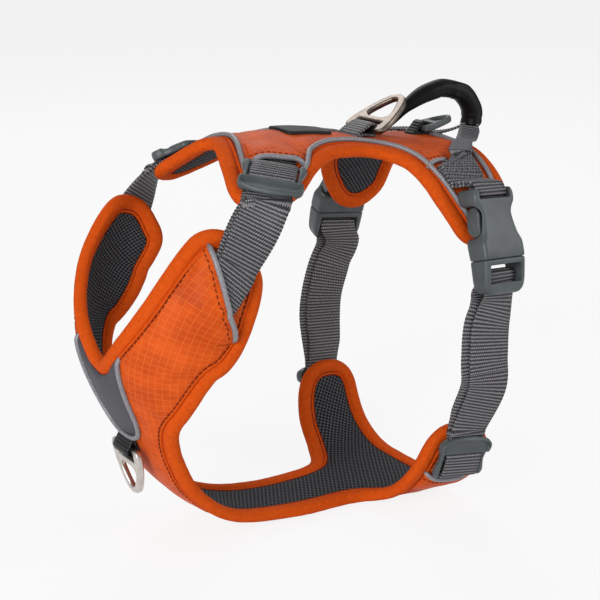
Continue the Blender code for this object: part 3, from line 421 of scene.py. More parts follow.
def new_material(name, **sockets):
    """A Principled material with constant sockets; returns it with its tree and its shader."""
    made = bpy.data.materials.new(name)
    made.use_nodes = True
    shader = made.node_tree.nodes["Principled BSDF"]
    for socket, value in sockets.items():
        shader.inputs[socket.replace("_", " ")].default_value = value
    return made, made.node_tree, shader


def cloth_place(tree):
    """The place on a cloth or strap in millimetres, along and across, from the mesh."""
    place = add_node(tree, "Attribute", attribute_name="cloth_mm", attribute_type="GEOMETRY")
    return place.outputs["Vector"]


def finish_surface(tree, shader, colour, height, strength, depth_mm):
    """Links a colour and a bump of that depth to the shader."""
    tree.links.new(colour, shader.inputs["Base Color"])
    bump = add_node(tree, "Bump", {"Strength": strength, "Distance": depth_mm * MM, "Height": height})
    tree.links.new(bump.outputs["Normal"], shader.inputs["Normal"])


def ripstop_nylon():
    """Thin plain-weave nylon with thicker threads in a 4 mm grid: a soft sheen, a paler square net, and broad darker
    patches of painted fold shade.
    """
    made, tree, shader = new_material("ripstop_nylon", Roughness=0.55, Specular_IOR_Level=0.18)
    place = cloth_place(tree)
    parts = add_node(tree, "SeparateXYZ", {0: place})
    lines = []
    for axis, step in ((0, 4.0), (1, 4.0)):
        turn = add_node(tree, "Math", {0: parts.outputs[axis], 1: step / 2}, operation="PINGPONG")
        line = add_node(tree, "MapRange", {0: turn.outputs[0], 1: 0.05, 2: 0.26, 3: 1.0, 4: 0.0})
        lines.append(line.outputs[0])
    grid = add_node(tree, "Math", {0: lines[0], 1: lines[1]}, operation="MAXIMUM")
    # Painted shade: broad darker patches in the colour stand in for the shade of soft folds in the cloth.
    patches = add_node(tree, "TexNoise", {"Vector": place, "Scale": 0.06, "Detail": 3.0})
    square = add_node(tree, "VectorMath", {0: place, 1: (4.0, 4.0, 4.0)}, operation="SNAP")
    shade = add_node(tree, "TexWhiteNoise", {"Vector": square.outputs[0]})
    tone_and_painted_shade = add_node(tree, "Math", {0: shade.outputs[0], 1: 0.07, 2: patches.outputs[0]}, operation="MULTIPLY_ADD")
    ramp = add_node(tree, "ValToRGB", {0: tone_and_painted_shade.outputs[0]})
    ramp.color_ramp.elements[0].position = 0.36
    ramp.color_ramp.elements[1].position = 0.8
    ramp.color_ramp.elements[0].color = linear("#C04405")
    ramp.color_ramp.elements[1].color = linear("#E65C12")
    # Single threads of 0.25 mm would not show, so the weave is drawn at 0.6 mm, and it breaks the net into dots
    weave = add_node(tree, "TexNoise", {"Vector": place, "Scale": 1.6, "Detail": 1.0})
    faint = add_node(tree, "Math", {0: grid.outputs[0], 1: weave.outputs[0]}, operation="MULTIPLY")
    colour = add_node(tree, "MixRGB", {0: faint.outputs[0], 1: ramp.outputs[0], 2: linear("#F58038")})
    height = add_node(tree, "Math", {0: weave.outputs[0], 1: grid.outputs[0]}, operation="ADD")
    finish_surface(tree, shader, colour.outputs[0], height.outputs[0], 0.35, 0.3)
    return made


def binding_tape():
    """Spun polyester tape folded over foam: matt, with a fine diagonal weave and paler and darker patches."""
    made, tree, shader = new_material("polyester_tape", Roughness=0.8, Specular_IOR_Level=0.12)
    place = cloth_place(tree)
    # The real weave of 0.4 mm would not show, so it is drawn at 1.1 mm
    turned = add_node(tree, "Mapping", {"Vector": place, "Rotation": (0.0, 0.0, 0.6), "Scale": (0.9, 0.9, 0.9)})
    weave = add_node(tree, "TexWave", {"Vector": turned.outputs[0], "Scale": 0.32, "Distortion": 1.5, "Detail": 1.0})
    patches = add_node(tree, "TexNoise", {"Vector": place, "Scale": 0.35, "Detail": 4.0})
    mixed = add_node(tree, "Math", {0: weave.outputs[1], 1: 0.35, 2: patches.outputs[0]}, operation="MULTIPLY_ADD")
    ramp = add_node(tree, "ValToRGB", {0: mixed.outputs[0]})
    ramp.color_ramp.elements[0].position = 0.35
    ramp.color_ramp.elements[1].position = 1.0
    ramp.color_ramp.elements[0].color = linear("#C64806")
    ramp.color_ramp.elements[1].color = linear("#E25A12")
    finish_surface(tree, shader, ramp.outputs[0], mixed.outputs[0], 0.3, 0.25)
    return made


def spacer_mesh():
    """Knitted polyester spacer mesh: soft dark grey, with staggered open holes 3.4 mm apart, drawn near black as
    painted shade inside them.
    """
    made, tree, shader = new_material("spacer_mesh", Roughness=0.85, Specular_IOR_Level=0.2)
    place = cloth_place(tree)
    parts = add_node(tree, "SeparateXYZ", {0: place})
    row = add_node(tree, "Math", {0: parts.outputs[0], 1: 1.75}, operation="DIVIDE")
    whole = add_node(tree, "Math", {0: row.outputs[0]}, operation="FLOOR")
    odd = add_node(tree, "Math", {0: whole.outputs[0], 1: 2.0}, operation="FLOORED_MODULO")
    column = add_node(tree, "Math", {0: parts.outputs[1], 1: 3.4}, operation="DIVIDE")
    shifted = add_node(tree, "Math", {0: odd.outputs[0], 1: 0.5, 2: column.outputs[0]}, operation="MULTIPLY_ADD")
    offsets = []
    for value, size in ((row, 1.75), (shifted, 3.4)):
        fraction = add_node(tree, "Math", {0: value.outputs[0]}, operation="FRACT")
        centred = add_node(tree, "Math", {0: fraction.outputs[0], 1: 0.5}, operation="SUBTRACT")
        offsets.append(add_node(tree, "Math", {0: centred.outputs[0], 1: size}, operation="MULTIPLY"))
    squares = [add_node(tree, "Math", {0: o.outputs[0], 1: 2.0}, operation="POWER") for o in offsets]
    total = add_node(tree, "Math", {0: squares[0].outputs[0], 1: squares[1].outputs[0]}, operation="ADD")
    radius = add_node(tree, "Math", {0: total.outputs[0]}, operation="SQRT")
    solid = add_node(tree, "MapRange", {0: radius.outputs[0], 1: 0.7, 2: 1.15, 3: 0.0, 4: 1.0})
    yarn = add_node(tree, "TexNoise", {"Vector": place, "Scale": 1.2, "Detail": 3.0})
    ramp = add_node(tree, "ValToRGB", {0: yarn.outputs[0]})
    ramp.color_ramp.elements[0].position = 0.3
    ramp.color_ramp.elements[1].position = 0.75
    ramp.color_ramp.elements[0].color = linear("#3E4044")
    ramp.color_ramp.elements[1].color = linear("#686A70")
    # The holes are real; their near black colour is painted shade inside them.
    colour = add_node(tree, "MixRGB", {0: solid.outputs[0], 1: linear("#070708"), 2: ramp.outputs[0]})
    finish_surface(tree, shader, colour.outputs[0], solid.outputs[0], 0.8, 0.9)
    return made


def nylon_webbing(name, low, high):
    """Heavy nylon webbing: cross ribs from the mesh, with painted light on their crests and painted shade between them,
    a fine yarn along them and a slight gloss.
    """
    made, tree, shader = new_material(name, Roughness=0.5, Specular_IOR_Level=0.3)
    place = cloth_place(tree)
    parts = add_node(tree, "SeparateXYZ", {0: place})
    # Yarns lie 0.9 mm apart across the strap and step with each rib
    along = add_node(tree, "Math", {0: parts.outputs[0], 1: math.pi / RIB_STEP}, operation="MULTIPLY")
    across = add_node(tree, "Math", {0: parts.outputs[1], 1: 2 * math.pi / 1.3}, operation="MULTIPLY")
    turned = add_node(tree, "Math", {0: across.outputs[0], 1: along.outputs[0]}, operation="ADD")
    yarn = add_node(tree, "Math", {0: turned.outputs[0]}, operation="SINE")
    fuzz = add_node(tree, "TexNoise", {"Vector": place, "Scale": 1.5, "Detail": 3.0})
    mixed = add_node(tree, "Math", {0: yarn.outputs[0], 1: 0.22, 2: fuzz.outputs[0]}, operation="MULTIPLY_ADD")
    # Painted light and shade: the colour is paler on the ribs' crests and darker between them, in step with the mesh's
    # ribs.
    valley = add_node(tree, "Math", {0: parts.outputs[0], 1: 2 * math.pi / RIB_STEP}, operation="MULTIPLY")
    painted_crest_light = add_node(tree, "Math", {0: valley.outputs[0]}, operation="COSINE")
    tone_and_painted_shade = add_node(tree, "Math", {0: painted_crest_light.outputs[0], 1: 0.36, 2: mixed.outputs[0]}, operation="MULTIPLY_ADD")
    ramp = add_node(tree, "ValToRGB", {0: tone_and_painted_shade.outputs[0]})
    ramp.color_ramp.elements[0].position = 0.38
    ramp.color_ramp.elements[1].position = 0.95
    ramp.color_ramp.elements[0].color = linear(low)
    ramp.color_ramp.elements[1].color = linear(high)
    finish_surface(tree, shader, ramp.outputs[0], mixed.outputs[0], 0.35, 0.3)
    return made


def reflective_tape():
    """Woven tape coated with glass beads, sewn round a cord: flat pale grey with a fine grit."""
    made, tree, shader = new_material("reflective_tape", Roughness=0.5, Metallic=0.25)
    place = add_node(tree, "TexCoord").outputs["Object"]
    # Beads of 0.05 mm would not show, so the grit is drawn at 0.8 mm
    grit = add_node(tree, "TexNoise", {"Vector": place, "Scale": 1250.0, "Detail": 2.0})
    ramp = add_node(tree, "ValToRGB", {0: grit.outputs[0]})
    ramp.color_ramp.elements[0].position = 0.3
    ramp.color_ramp.elements[1].position = 0.7
    ramp.color_ramp.elements[0].color = linear("#75747A")
    ramp.color_ramp.elements[1].color = linear("#9A999E")
    finish_surface(tree, shader, ramp.outputs[0], grit.outputs[0], 0.15, 0.2)
    return made


def acetal_plastic():
    """Acetal moulded in a spark-eroded tool: satin blue-grey with a very fine grain, and painted shade in its hollows.
    """
    made, tree, shader = new_material("acetal_plastic", Roughness=0.4, IOR=1.48, Specular_IOR_Level=0.4)
    place = add_node(tree, "TexCoord").outputs["Object"]
    # The tool's grain of 0.1 mm would not show, so it is drawn at 0.6 mm
    grain = add_node(tree, "TexNoise", {"Vector": place, "Scale": 1700.0, "Detail": 2.0})
    cloud = add_node(tree, "TexNoise", {"Vector": place, "Scale": 90.0, "Detail": 2.0})
    ramp = add_node(tree, "ValToRGB", {0: cloud.outputs[0]})
    ramp.color_ramp.elements[0].position = 0.3
    ramp.color_ramp.elements[1].position = 0.7
    ramp.color_ramp.elements[0].color = linear("#474D4F")
    ramp.color_ramp.elements[1].color = linear("#535A5C")
    # Painted shade: the colour is darkened in the moulding's own hollows, so they look darker than the ridges round
    # them.
    hollow_occlusion = add_node(tree, "AmbientOcclusion", {"Distance": 7.0 * MM}, samples=8, only_local=True)
    shade = add_node(tree, "MapRange", {0: hollow_occlusion.outputs["AO"], 1: 0.35, 2: 0.95, 3: 0.3, 4: 1.0})
    hollow_shaded_colour = add_node(tree, "VectorMath", {0: ramp.outputs[0], "Scale": shade.outputs[0]}, operation="SCALE")
    finish_surface(tree, shader, hollow_shaded_colour.outputs[0], grain.outputs[0], 0.12, 0.15)
    return made


def plated_zinc(name, low, high):
    """Die-cast zinc, tumbled and nickel plated: satin metal with soft clouds and fine rub marks."""
    made, tree, shader = new_material(name, Metallic=1.0, Roughness=0.33)
    place = add_node(tree, "TexCoord").outputs["Object"]
    cloud = add_node(tree, "TexNoise", {"Vector": place, "Scale": 220.0, "Detail": 4.0})
    rubs = add_node(tree, "TexNoise", {"Vector": place, "Scale": 2400.0, "Detail": 2.0})
    ramp = add_node(tree, "ValToRGB", {0: cloud.outputs[0]})
    ramp.color_ramp.elements[0].position = 0.3
    ramp.color_ramp.elements[1].position = 0.7
    ramp.color_ramp.elements[0].color = linear(low)
    ramp.color_ramp.elements[1].color = linear(high)
    finish_surface(tree, shader, ramp.outputs[0], rubs.outputs[0], 0.1, 0.1)
    return made


def coated_sleeve():
    """Polyurethane-coated knit over foam: near black with a broad soft gloss and a leathery grain."""
    made, tree, shader = new_material("coated_sleeve", Roughness=0.45, Specular_IOR_Level=0.14)
    place = add_node(tree, "TexCoord").outputs["Object"]
    grain = add_node(tree, "TexVoronoi", {"Vector": place, "Scale": 900.0})
    cloud = add_node(tree, "TexNoise", {"Vector": place, "Scale": 120.0, "Detail": 3.0})
    ramp = add_node(tree, "ValToRGB", {0: cloud.outputs[0]})
    ramp.color_ramp.elements[0].color = linear("#060507")
    ramp.color_ramp.elements[1].color = linear("#0D0C0E")
    finish_surface(tree, shader, ramp.outputs[0], grain.outputs[0], 0.2, 0.12)
    return made


def plain_cloth(name, low, high, step, roughness):
    """A close plain weave, drawn with threads that far apart in millimetres."""
    made, tree, shader = new_material(name, Roughness=roughness, Specular_IOR_Level=0.25)
    place = cloth_place(tree)
    weave = add_node(tree, "TexNoise", {"Vector": place, "Scale": 1.0 / step, "Detail": 2.0})
    ramp = add_node(tree, "ValToRGB", {0: weave.outputs[0]})
    ramp.color_ramp.elements[0].position = 0.3
    ramp.color_ramp.elements[1].position = 0.7
    ramp.color_ramp.elements[0].color = linear(low)
    ramp.color_ramp.elements[1].color = linear(high)
    finish_surface(tree, shader, ramp.outputs[0], weave.outputs[0], 0.25, 0.2)
    return made


# Meshes
def grid_mesh(name, points, places, closed=False):
    """A sheet of quads over a grid of points in millimetres, with each point's place on the cloth."""
    rows, columns = points.shape[:2]
    number = np.arange(rows * columns).reshape(rows, columns)
    across = np.roll(number, -1, axis=1) if closed else number[:, 1:]
    here = number if closed else number[:, :-1]
    faces = np.stack([here[:-1], across[:-1], across[1:], here[1:]], axis=-1).reshape(-1, 4)
    mesh = bpy.data.meshes.new(name)
    mesh.from_pydata((points.reshape(-1, 3) * MM).tolist(), [], faces.tolist())
    set_places(mesh, places.reshape(-1, 2))
    return mesh


def set_places(mesh, places):
    """Writes the places on the cloth, in millimetres, to a mesh."""
    written = mesh.attributes.new("cloth_mm", "FLOAT_VECTOR", "POINT")
    values = np.zeros((len(mesh.vertices), 3), np.float32)
    values[:, :2] = places
    written.data.foreach_set("vector", values.ravel())


def joined(name, meshes):
    """One mesh from several."""
    shape = bmesh.new()
    for mesh in meshes:
        shape.from_mesh(mesh)
    made = bpy.data.meshes.new(name)
    shape.to_mesh(made)
    shape.free()
    return made


def add_piece(name, mesh, material, body=None, replaces=(), out=True):
    """A shown piece with its material; it rides on a body if one is given."""
    shape = bmesh.new()
    shape.from_mesh(mesh)
    bmesh.ops.remove_doubles(shape, verts=shape.verts, dist=0.00001)
    if out:
        bmesh.ops.recalc_face_normals(shape, faces=shape.faces)
    shape.to_mesh(mesh)
    shape.free()
    mesh.shade_smooth()
    made = bpy.data.objects.new(name, mesh)
    bpy.context.scene.collection.objects.link(made)
    mesh.materials.append(material)
    if body:
        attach(made, body)
    if replaces:
        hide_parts(*replaces)
    return made


def add_modifier(owner, kind, **settings):
    modifier = owner.modifiers.new(kind.title(), kind)
    for setting, value in settings.items():
        setattr(modifier, setting, value)
    return modifier


def frames_along(line, normals, closed=False):
    """Directions along, out of and across a line, from rough directions out."""
    if closed:
        tangents = np.roll(line, -1, axis=0) - np.roll(line, 1, axis=0)
    else:
        tangents = np.gradient(line, axis=0)
    tangents /= np.linalg.norm(tangents, axis=1, keepdims=True)
    outward = normals - np.sum(normals * tangents, axis=1, keepdims=True) * tangents
    outward /= np.linalg.norm(outward, axis=1, keepdims=True)
    return tangents, outward, np.cross(tangents, outward)


def swept(name, line, normals, section, closed=False):
    """A tube whose section, as (across, out) for each point of the line, follows the line; ends are capped."""
    _, outward, across = frames_along(line, normals, closed)
    points = line[:, None] + section[..., :1] * across[:, None] + section[..., 1:] * outward[:, None]
    along = lengths_along(line)
    around = np.concatenate([np.zeros((len(line), 1)),
                             np.cumsum(np.linalg.norm(np.diff(section, axis=1), axis=2), axis=1)], axis=1)
    places = np.stack([np.broadcast_to(along[:, None], around.shape), around], axis=-1)
    if closed:
        points = np.concatenate([points, points[:1]])
        places = np.concatenate([places, places[-1:] + (2.0, 0.0)])
    else:
        ends = [line[:1, None] + 0 * points[:1], line[-1:, None] + 0 * points[:1]]
        points = np.concatenate([ends[0], points, ends[1]])
        places = np.concatenate([places[:1], places, places[-1:]])
    return grid_mesh(name, points, places, closed=True)


def oval(wide, thick, sides, power=2.0):
    """An oval section: a superellipse with half widths across and out."""
    angles = np.linspace(0.0, 2 * math.pi, sides, endpoint=False)
    cosine, sine = np.cos(angles), np.sin(angles)
    return np.stack([np.sign(cosine) * np.abs(cosine) ** (2 / power) * wide,
                     np.sign(sine) * np.abs(sine) ** (2 / power) * thick], axis=-1)


# Panels
def half_outline(rows, closed_at_start):
    """The outer edge of a half pattern, from centre to centre."""
    inner = [row[0] for row in rows]
    outer = [row[1] for row in rows]
    shares = (0.35, 0.7, 1.0)
    last = [tuple(np.add(outer[-1], np.subtract(inner[-1], outer[-1]) * share)) for share in shares]
    if closed_at_start:
        return inner[NOTCH_ROW::-1] + outer + last
    first = [tuple(np.add(outer[0], np.subtract(inner[0], outer[0]) * share)) for share in shares[::-1]]
    return first + outer + last


def whole_outline(rows, closed_at_start, step):
    """The closed edge of a whole pattern as (u, v), an even step apart."""
    half = np.array(half_outline(rows, closed_at_start), float)
    whole = np.vstack([half, half[-2:0:-1] * (1, -1)])
    return spaced(smooth(np.vstack([whole, whole[:1]]), 10), step)[:-1]


def edge_distance(points, edge):
    """How far each point lies from the edge line, and the number of the nearest edge point."""
    flat = points.reshape(-1, 3)
    distance = np.zeros(len(flat))
    nearest = np.zeros(len(flat), int)
    for start in range(0, len(flat), 2000):
        apart = np.linalg.norm(flat[start:start + 2000, None] - edge[None], axis=2)
        nearest[start:start + 2000] = apart.argmin(axis=1)
        distance[start:start + 2000] = apart.min(axis=1)
    return distance.reshape(points.shape[:-1]), nearest.reshape(points.shape[:-1])


def panel_mesh(name, form, rows, outline, height_of, between, across):
    """A whole panel on its form; height_of gives heights from points, edge distance and nearest edge number."""
    edge = form.point(outline[:, 0], outline[:, 1], np.zeros(len(outline)))
    inner = smooth([row[0] for row in rows], between)
    outer = smooth([row[1] for row in rows], between)
    inner[:, 1] = np.maximum(inner[:, 1], 0.0)
    shares = np.linspace(0.0, 1.0, across + 1)[None, :, None]
    half = inner[:, None] + (outer - inner)[:, None] * shares
    meshes = []
    for side, _ in SIDES:
        place = half * (1, side)
        flat = form.surface(place[..., 0], place[..., 1])
        distance, nearest = edge_distance(flat, edge)
        heights = height_of(flat, distance, nearest)
        points = form.point(place[..., 0], place[..., 1], heights)
        meshes.append(grid_mesh(name, points, form.cloth(place)))
    return joined(name, meshes)


def shell_height(points, distance, nearest):
    """The ripstop's height: sewn down at the edge, puckered beside the seam, with soft folds inside."""
    rise = 1 - np.exp(-(distance / 3.5) ** 2)
    pucker = np.sin(nearest * 2.0 * 2 * math.pi / 7.5 + 4 * ripples(points, 16.0)) * np.exp(-distance / 7.0) * rise
    folds = 0.55 * ripples(points, 21.0, 3.1) + 0.25 * ripples(points, 9.0, 7.7)
    return SHELL_EDGE + (SHELL_PLATEAU - SHELL_EDGE) * rise + 0.45 * pucker + folds * rise


def lining_height(points, distance, nearest):
    """The mesh lining's height: a padded face, drawn in at the seam."""
    rise = 1 - np.exp(-(distance / 4.5) ** 2)
    return LINING_EDGE + (LINING_PLATEAU - LINING_EDGE) * rise + 0.5 * ripples(points, 24.0, 5.0) * rise


def binding_line(form, outline):
    """The middle line of the tape round a panel, and the directions out of the form there."""
    edge = form.point(outline[:, 0], outline[:, 1], np.full(len(outline), BINDING_HEIGHT))
    normals = form.normal(outline[:, 0], outline[:, 1])
    outward = np.cross(np.roll(edge, -1, axis=0) - np.roll(edge, 1, axis=0), normals)
    outward /= np.linalg.norm(outward, axis=1, keepdims=True)
    after = np.roll(outline, -1, axis=0)
    area = np.sum(outline[:, 0] * after[:, 1] - outline[:, 1] * after[:, 0])
    moved = edge + np.sign(area) * form.outward * outward * BINDING_OFFSET
    apart = np.linalg.norm(moved[:, None] - edge[None], axis=2).min(axis=1)
    kept = apart > BINDING_OFFSET - 0.25
    return moved[kept], normals[kept]


def rounded(line, turns):
    """A closed line with its corners eased, by averaging each point with its neighbours."""
    for _ in range(turns):
        line = (np.roll(line, 1, axis=0) + 2 * line + np.roll(line, -1, axis=0)) / 4
    return line


def add_binding(name, form, outline):
    """The padded tape round a panel's edge, with small gathers."""
    line, normals = binding_line(form, outline)
    line, normals = rounded(line, 3), rounded(normals, 3)
    sides = 18
    section = np.broadcast_to(oval(BINDING_WIDE, BINDING_THICK, sides, 2.3), (len(line), sides, 2))
    along = lengths_along(line)
    angles = np.linspace(0.0, 2 * math.pi, sides, endpoint=False)
    samples = np.stack(np.broadcast_arrays(along[:, None] / 5.0, 1.3 * np.cos(angles)[None], 1.3 * np.sin(angles)[None]), -1)
    gathers = 1 + 0.035 * ripples(samples, 1.0, 2.2) + 0.03 * ripples(samples * (0.25, 1, 1), 1.0, 8.0)
    mesh = swept(name, line, normals, section * gathers[..., None], closed=True)
    return add_piece(name, mesh, tape, "harness", [name])


def seam_line(form, outline, inset, height):
    """A line just inside a panel's edge, at a height over the form, and the directions out of the form there."""
    edge = form.point(outline[:, 0], outline[:, 1], np.zeros(len(outline)))
    normals = form.normal(outline[:, 0], outline[:, 1])
    outward = np.cross(np.roll(edge, -1, axis=0) - np.roll(edge, 1, axis=0), normals)
    outward /= np.linalg.norm(outward, axis=1, keepdims=True)
    after = np.roll(outline, -1, axis=0)
    area = np.sum(outline[:, 0] * after[:, 1] - outline[:, 1] * after[:, 0])
    line = edge - np.sign(area) * form.outward * outward * inset + normals * height
    apart = np.linalg.norm(line[:, None] - edge[None], axis=2).min(axis=1)
    kept = apart > math.hypot(inset, height) - 0.2
    return line[kept], normals[kept]


def add_hem(name, form, outline, height):
    """The folded edge of the tape: a thin ridge along the inner side of the roll."""
    line, normals = (rounded(values, 2) for values in seam_line(form, outline, HEM_INSET, height))
    section = np.broadcast_to(oval(HEM_WIDE, HEM_THICK, 8), (len(line), 8, 2))
    add_piece(name, swept(name, line, normals, section, closed=True), tape, "harness", ())


def stitch_row(name, line, normals, closed=True):
    """Stitches along a line: short threads that dip at both ends."""
    if closed:
        line, normals = np.vstack([line, line[:1]]), np.vstack([normals, normals[:1]])
    along = lengths_along(line)
    count = int(along[-1] / STITCH_STEP)
    meshes = []
    for number in range(count):
        wanted = number * STITCH_STEP + np.linspace(0.0, STITCH_LENGTH, 4)
        points = np.stack([np.interp(wanted, along, line[:, i]) for i in range(3)], axis=1)
        out = np.stack([np.interp(wanted, along, normals[:, i]) for i in range(3)], axis=1)
        if np.linalg.norm(points[-1] - points[0]) > 1.4 * STITCH_LENGTH:
            continue
        points = points + out * np.array([-0.35, 0.1, 0.1, -0.35])[:, None]
        section = np.broadcast_to(oval(STITCH_RADIUS, STITCH_RADIUS, 6), (4, 6, 2))
        meshes.append(swept(name, points, out, section))
    return joined(name, meshes)


def piping_line(form, line, side, mirrored_whole, lip):
    """Points in millimetres along a piping, and the directions out of the form there."""
    half = [(u, v * side) for u, v in line]
    if mirrored_whole:
        half = half + [(u, -v) for u, v in half[-2::-1]]
    place = spaced(smooth(half, 10), 1.5)
    heights = np.full(len(place), PIPING_HEIGHT)
    if lip:
        heights = lip_height(np.linspace(0.0, 1.0, len(place)), lip) + PIPING_RADIUS / 2
    along = lengths_along(place)
    from_end = np.minimum(along, along[-1] - along)
    heights = heights - PIPING_DIVE * np.exp(-(from_end / PIPING_DIVE_REACH) ** 2)
    return form.point(place[:, 0], place[:, 1], heights), form.normal(place[:, 0], place[:, 1])


def add_piping(name, form, line, side=-1, mirrored_whole=False, lip=None):
    """Reflective tape sewn round a cord, let into a seam or sewn to the mouth of a pocket's lip."""
    points, normals = piping_line(form, line, side, mirrored_whole, lip)
    section = np.broadcast_to(oval(PIPING_RADIUS, PIPING_RADIUS, 12), (len(points), 12, 2))
    mesh = swept(name, points, normals, section)
    return add_piece(name, mesh, reflective, "harness", [name])


def add_lip(name, form, mouth, root, side, height):
    """A pocket's lip: ripstop that rises from its root to its open mouth, where webbing runs under it."""
    near, far = spaced(smooth(mouth, 10), 1.0), spaced(smooth(root, 10), 1.0)
    count = 40
    pick = np.linspace(0.0, 1.0, count)
    lines = [np.stack([np.interp(pick * (len(line) - 1), np.arange(len(line)), line[:, i]) for i in range(2)], axis=1)
             for line in (near, far)]
    steps = np.linspace(0.0, 1.0, 18)
    place = (lines[0][:, None] + (lines[1] - lines[0])[:, None] * steps[None, :, None]) * (1, side)
    fall = ease(steps ** 1.6)[None]
    heights = lip_height(pick, height)[:, None] * (1 - fall) + LIP_ROOT * fall
    points = form.point(place[..., 0], place[..., 1], heights)
    points += (0.35 * ripples(points, 10.0, 6.0) * steps[None] * (1 - steps[None]) * 4)[..., None] * form.normal(
        place[..., 0], place[..., 1])
    made = add_piece(name, grid_mesh(name, points, form.cloth(place)), ripstop, "harness", ())
    add_modifier(made, "SOLIDIFY", thickness=0.6 * MM, offset=0.0)
    normals = form.normal(place[..., 0], place[..., 1])
    row = np.argmin(np.abs(np.linalg.norm(points - points[:, :1], axis=2) - LIP_STITCH), axis=1)
    number = np.arange(count)
    seam = points[number, row] + normals[number, row] * 0.35
    mesh = stitch_row(name + "_stitches", seam, normals[number, row], closed=False)
    add_piece(name + "_stitches", mesh, groove_shaded_thread, "harness", ())


def lip_height(share, height):
    """The height of a pocket's mouth over its panel, sewn down at both ends."""
    return SHELL_PLATEAU + (height - SHELL_PLATEAU) * (1 - np.abs(2 * share - 1) ** 4)


def add_panels():
    """Both padded panels with their shells, linings, tape, hems and stitches."""
    for name, form, rows, closed_at_start, between in (
            ("back", back, BACK_ROWS, False, 8), ("chest", chest, CHEST_ROWS, True, 9)):
        outline = whole_outline(rows, closed_at_start, 2.0)
        for word, height_of, material, slot, thickness, offset in (
                ("shell", shell_height, ripstop, "ripstop_shell", 0.8, -1.0),
                ("lining", lining_height, air_mesh, "air_mesh", 2.4, -1.0)):
            node = f"{name}_{word}"
            mesh = panel_mesh(node, form, rows, outline, height_of, between, 34 if word == "shell" else 20)
            made = add_piece(node + "_cloth", mesh, material, "harness", [node])
            flip = form.outward * (1 if word == "shell" else -1)
            face_outward(mesh, form, flip)
            add_modifier(made, "SOLIDIFY", thickness=thickness * MM, offset=offset)
        add_binding(name + "_binding", form, outline)
        for word, hem, height in (("outer", SHELL_EDGE + 0.5, SHELL_EDGE + 0.85), ("inner", LINING_EDGE - 0.4, LINING_EDGE - 0.6)):
            add_hem(f"{name}_hem_{word}", form, outline, hem)
            mesh = stitch_row(f"{name}_stitches_{word}", *seam_line(form, outline, STITCH_INSET, height))
            add_piece(f"{name}_stitches_{word}", mesh, groove_shaded_thread, "harness", ())


def face_outward(mesh, form, sign):
    """Turns a sheet's faces to the outer side of its form, or to the inner side."""
    centre = np.array((0.0, 0.0, 0.0))
    total = 0.0
    for face in mesh.polygons:
        total += face.normal.dot(face.center - Vector(centre)) * face.area
    wanted = 1.0 if sign * form.outward > 0 else -1.0
    if total * wanted < 0:
        mesh.flip_normals()


def add_trim():
    add_piping("back_front_piping", back, FRONT_PIPING, mirrored_whole=True)
    add_piping("back_rear_piping", back, REAR_PIPING, mirrored_whole=True)
    add_piping("badge_piping", chest, BADGE_PIPING, mirrored_whole=True)
    for side, word in SIDES:
        add_piping("back_side_piping_" + word, back, SIDE_PIPING, side)
        for pocket, node, form, mouth, root, height in (
                ("neck_pocket", "neck_pocket_piping", back, NECK_POCKET_PIPING, NECK_LIP_ROOT, NECK_LIP),
                ("wing_pocket", "wing_pocket_piping", back, WING_POCKET_PIPING, WING_LIP_ROOT, WING_LIP),
                ("arm_pocket", "arm_piping", chest, ARM_PIPING, ARM_LIP_ROOT, ARM_LIP),
                ("belly_pocket", "belly_pocket_piping", chest, BELLY_POCKET_PIPING, BELLY_LIP_ROOT, BELLY_LIP)):
            add_piping(f"{node}_{word}", form, mouth, side, lip=height)
            add_lip(f"{pocket}_lip_{word}", form, mouth, root, side, height)


# Straps
class Spine:
    """The middle line of a strap, with the direction out of the strap at each point."""

    def __init__(self, points, normals):
        self.line = smooth(points, SPINE_PIECES)
        outward = smooth(normals, SPINE_PIECES)
        self.along = lengths_along(self.line)
        self.outward = outward / np.linalg.norm(outward, axis=1, keepdims=True)

    def at_point(self, number):
        """The length along the strap at one of the points that it was made from."""
        return self.along[::SPINE_PIECES][number]

    def frame(self, s):
        """Place, direction along, direction out and direction across at a length along the strap."""
        place = np.array([np.interp(s, self.along, self.line[:, i]) for i in range(3)])
        over = max(0.0, s - self.along[-1])
        within = min(max(s, 1.0), self.along[-1] - 1.0)
        ahead = np.array([np.interp(within + 1, self.along, self.line[:, i]) for i in range(3)])
        behind = np.array([np.interp(within - 1, self.along, self.line[:, i]) for i in range(3)])
        tangent = unit(ahead - behind)
        out = np.array([np.interp(s, self.along, self.outward[:, i]) for i in range(3)])
        out = unit(out - np.dot(out, tangent) * tangent)
        return place + over * tangent, tangent, out, np.cross(tangent, out)


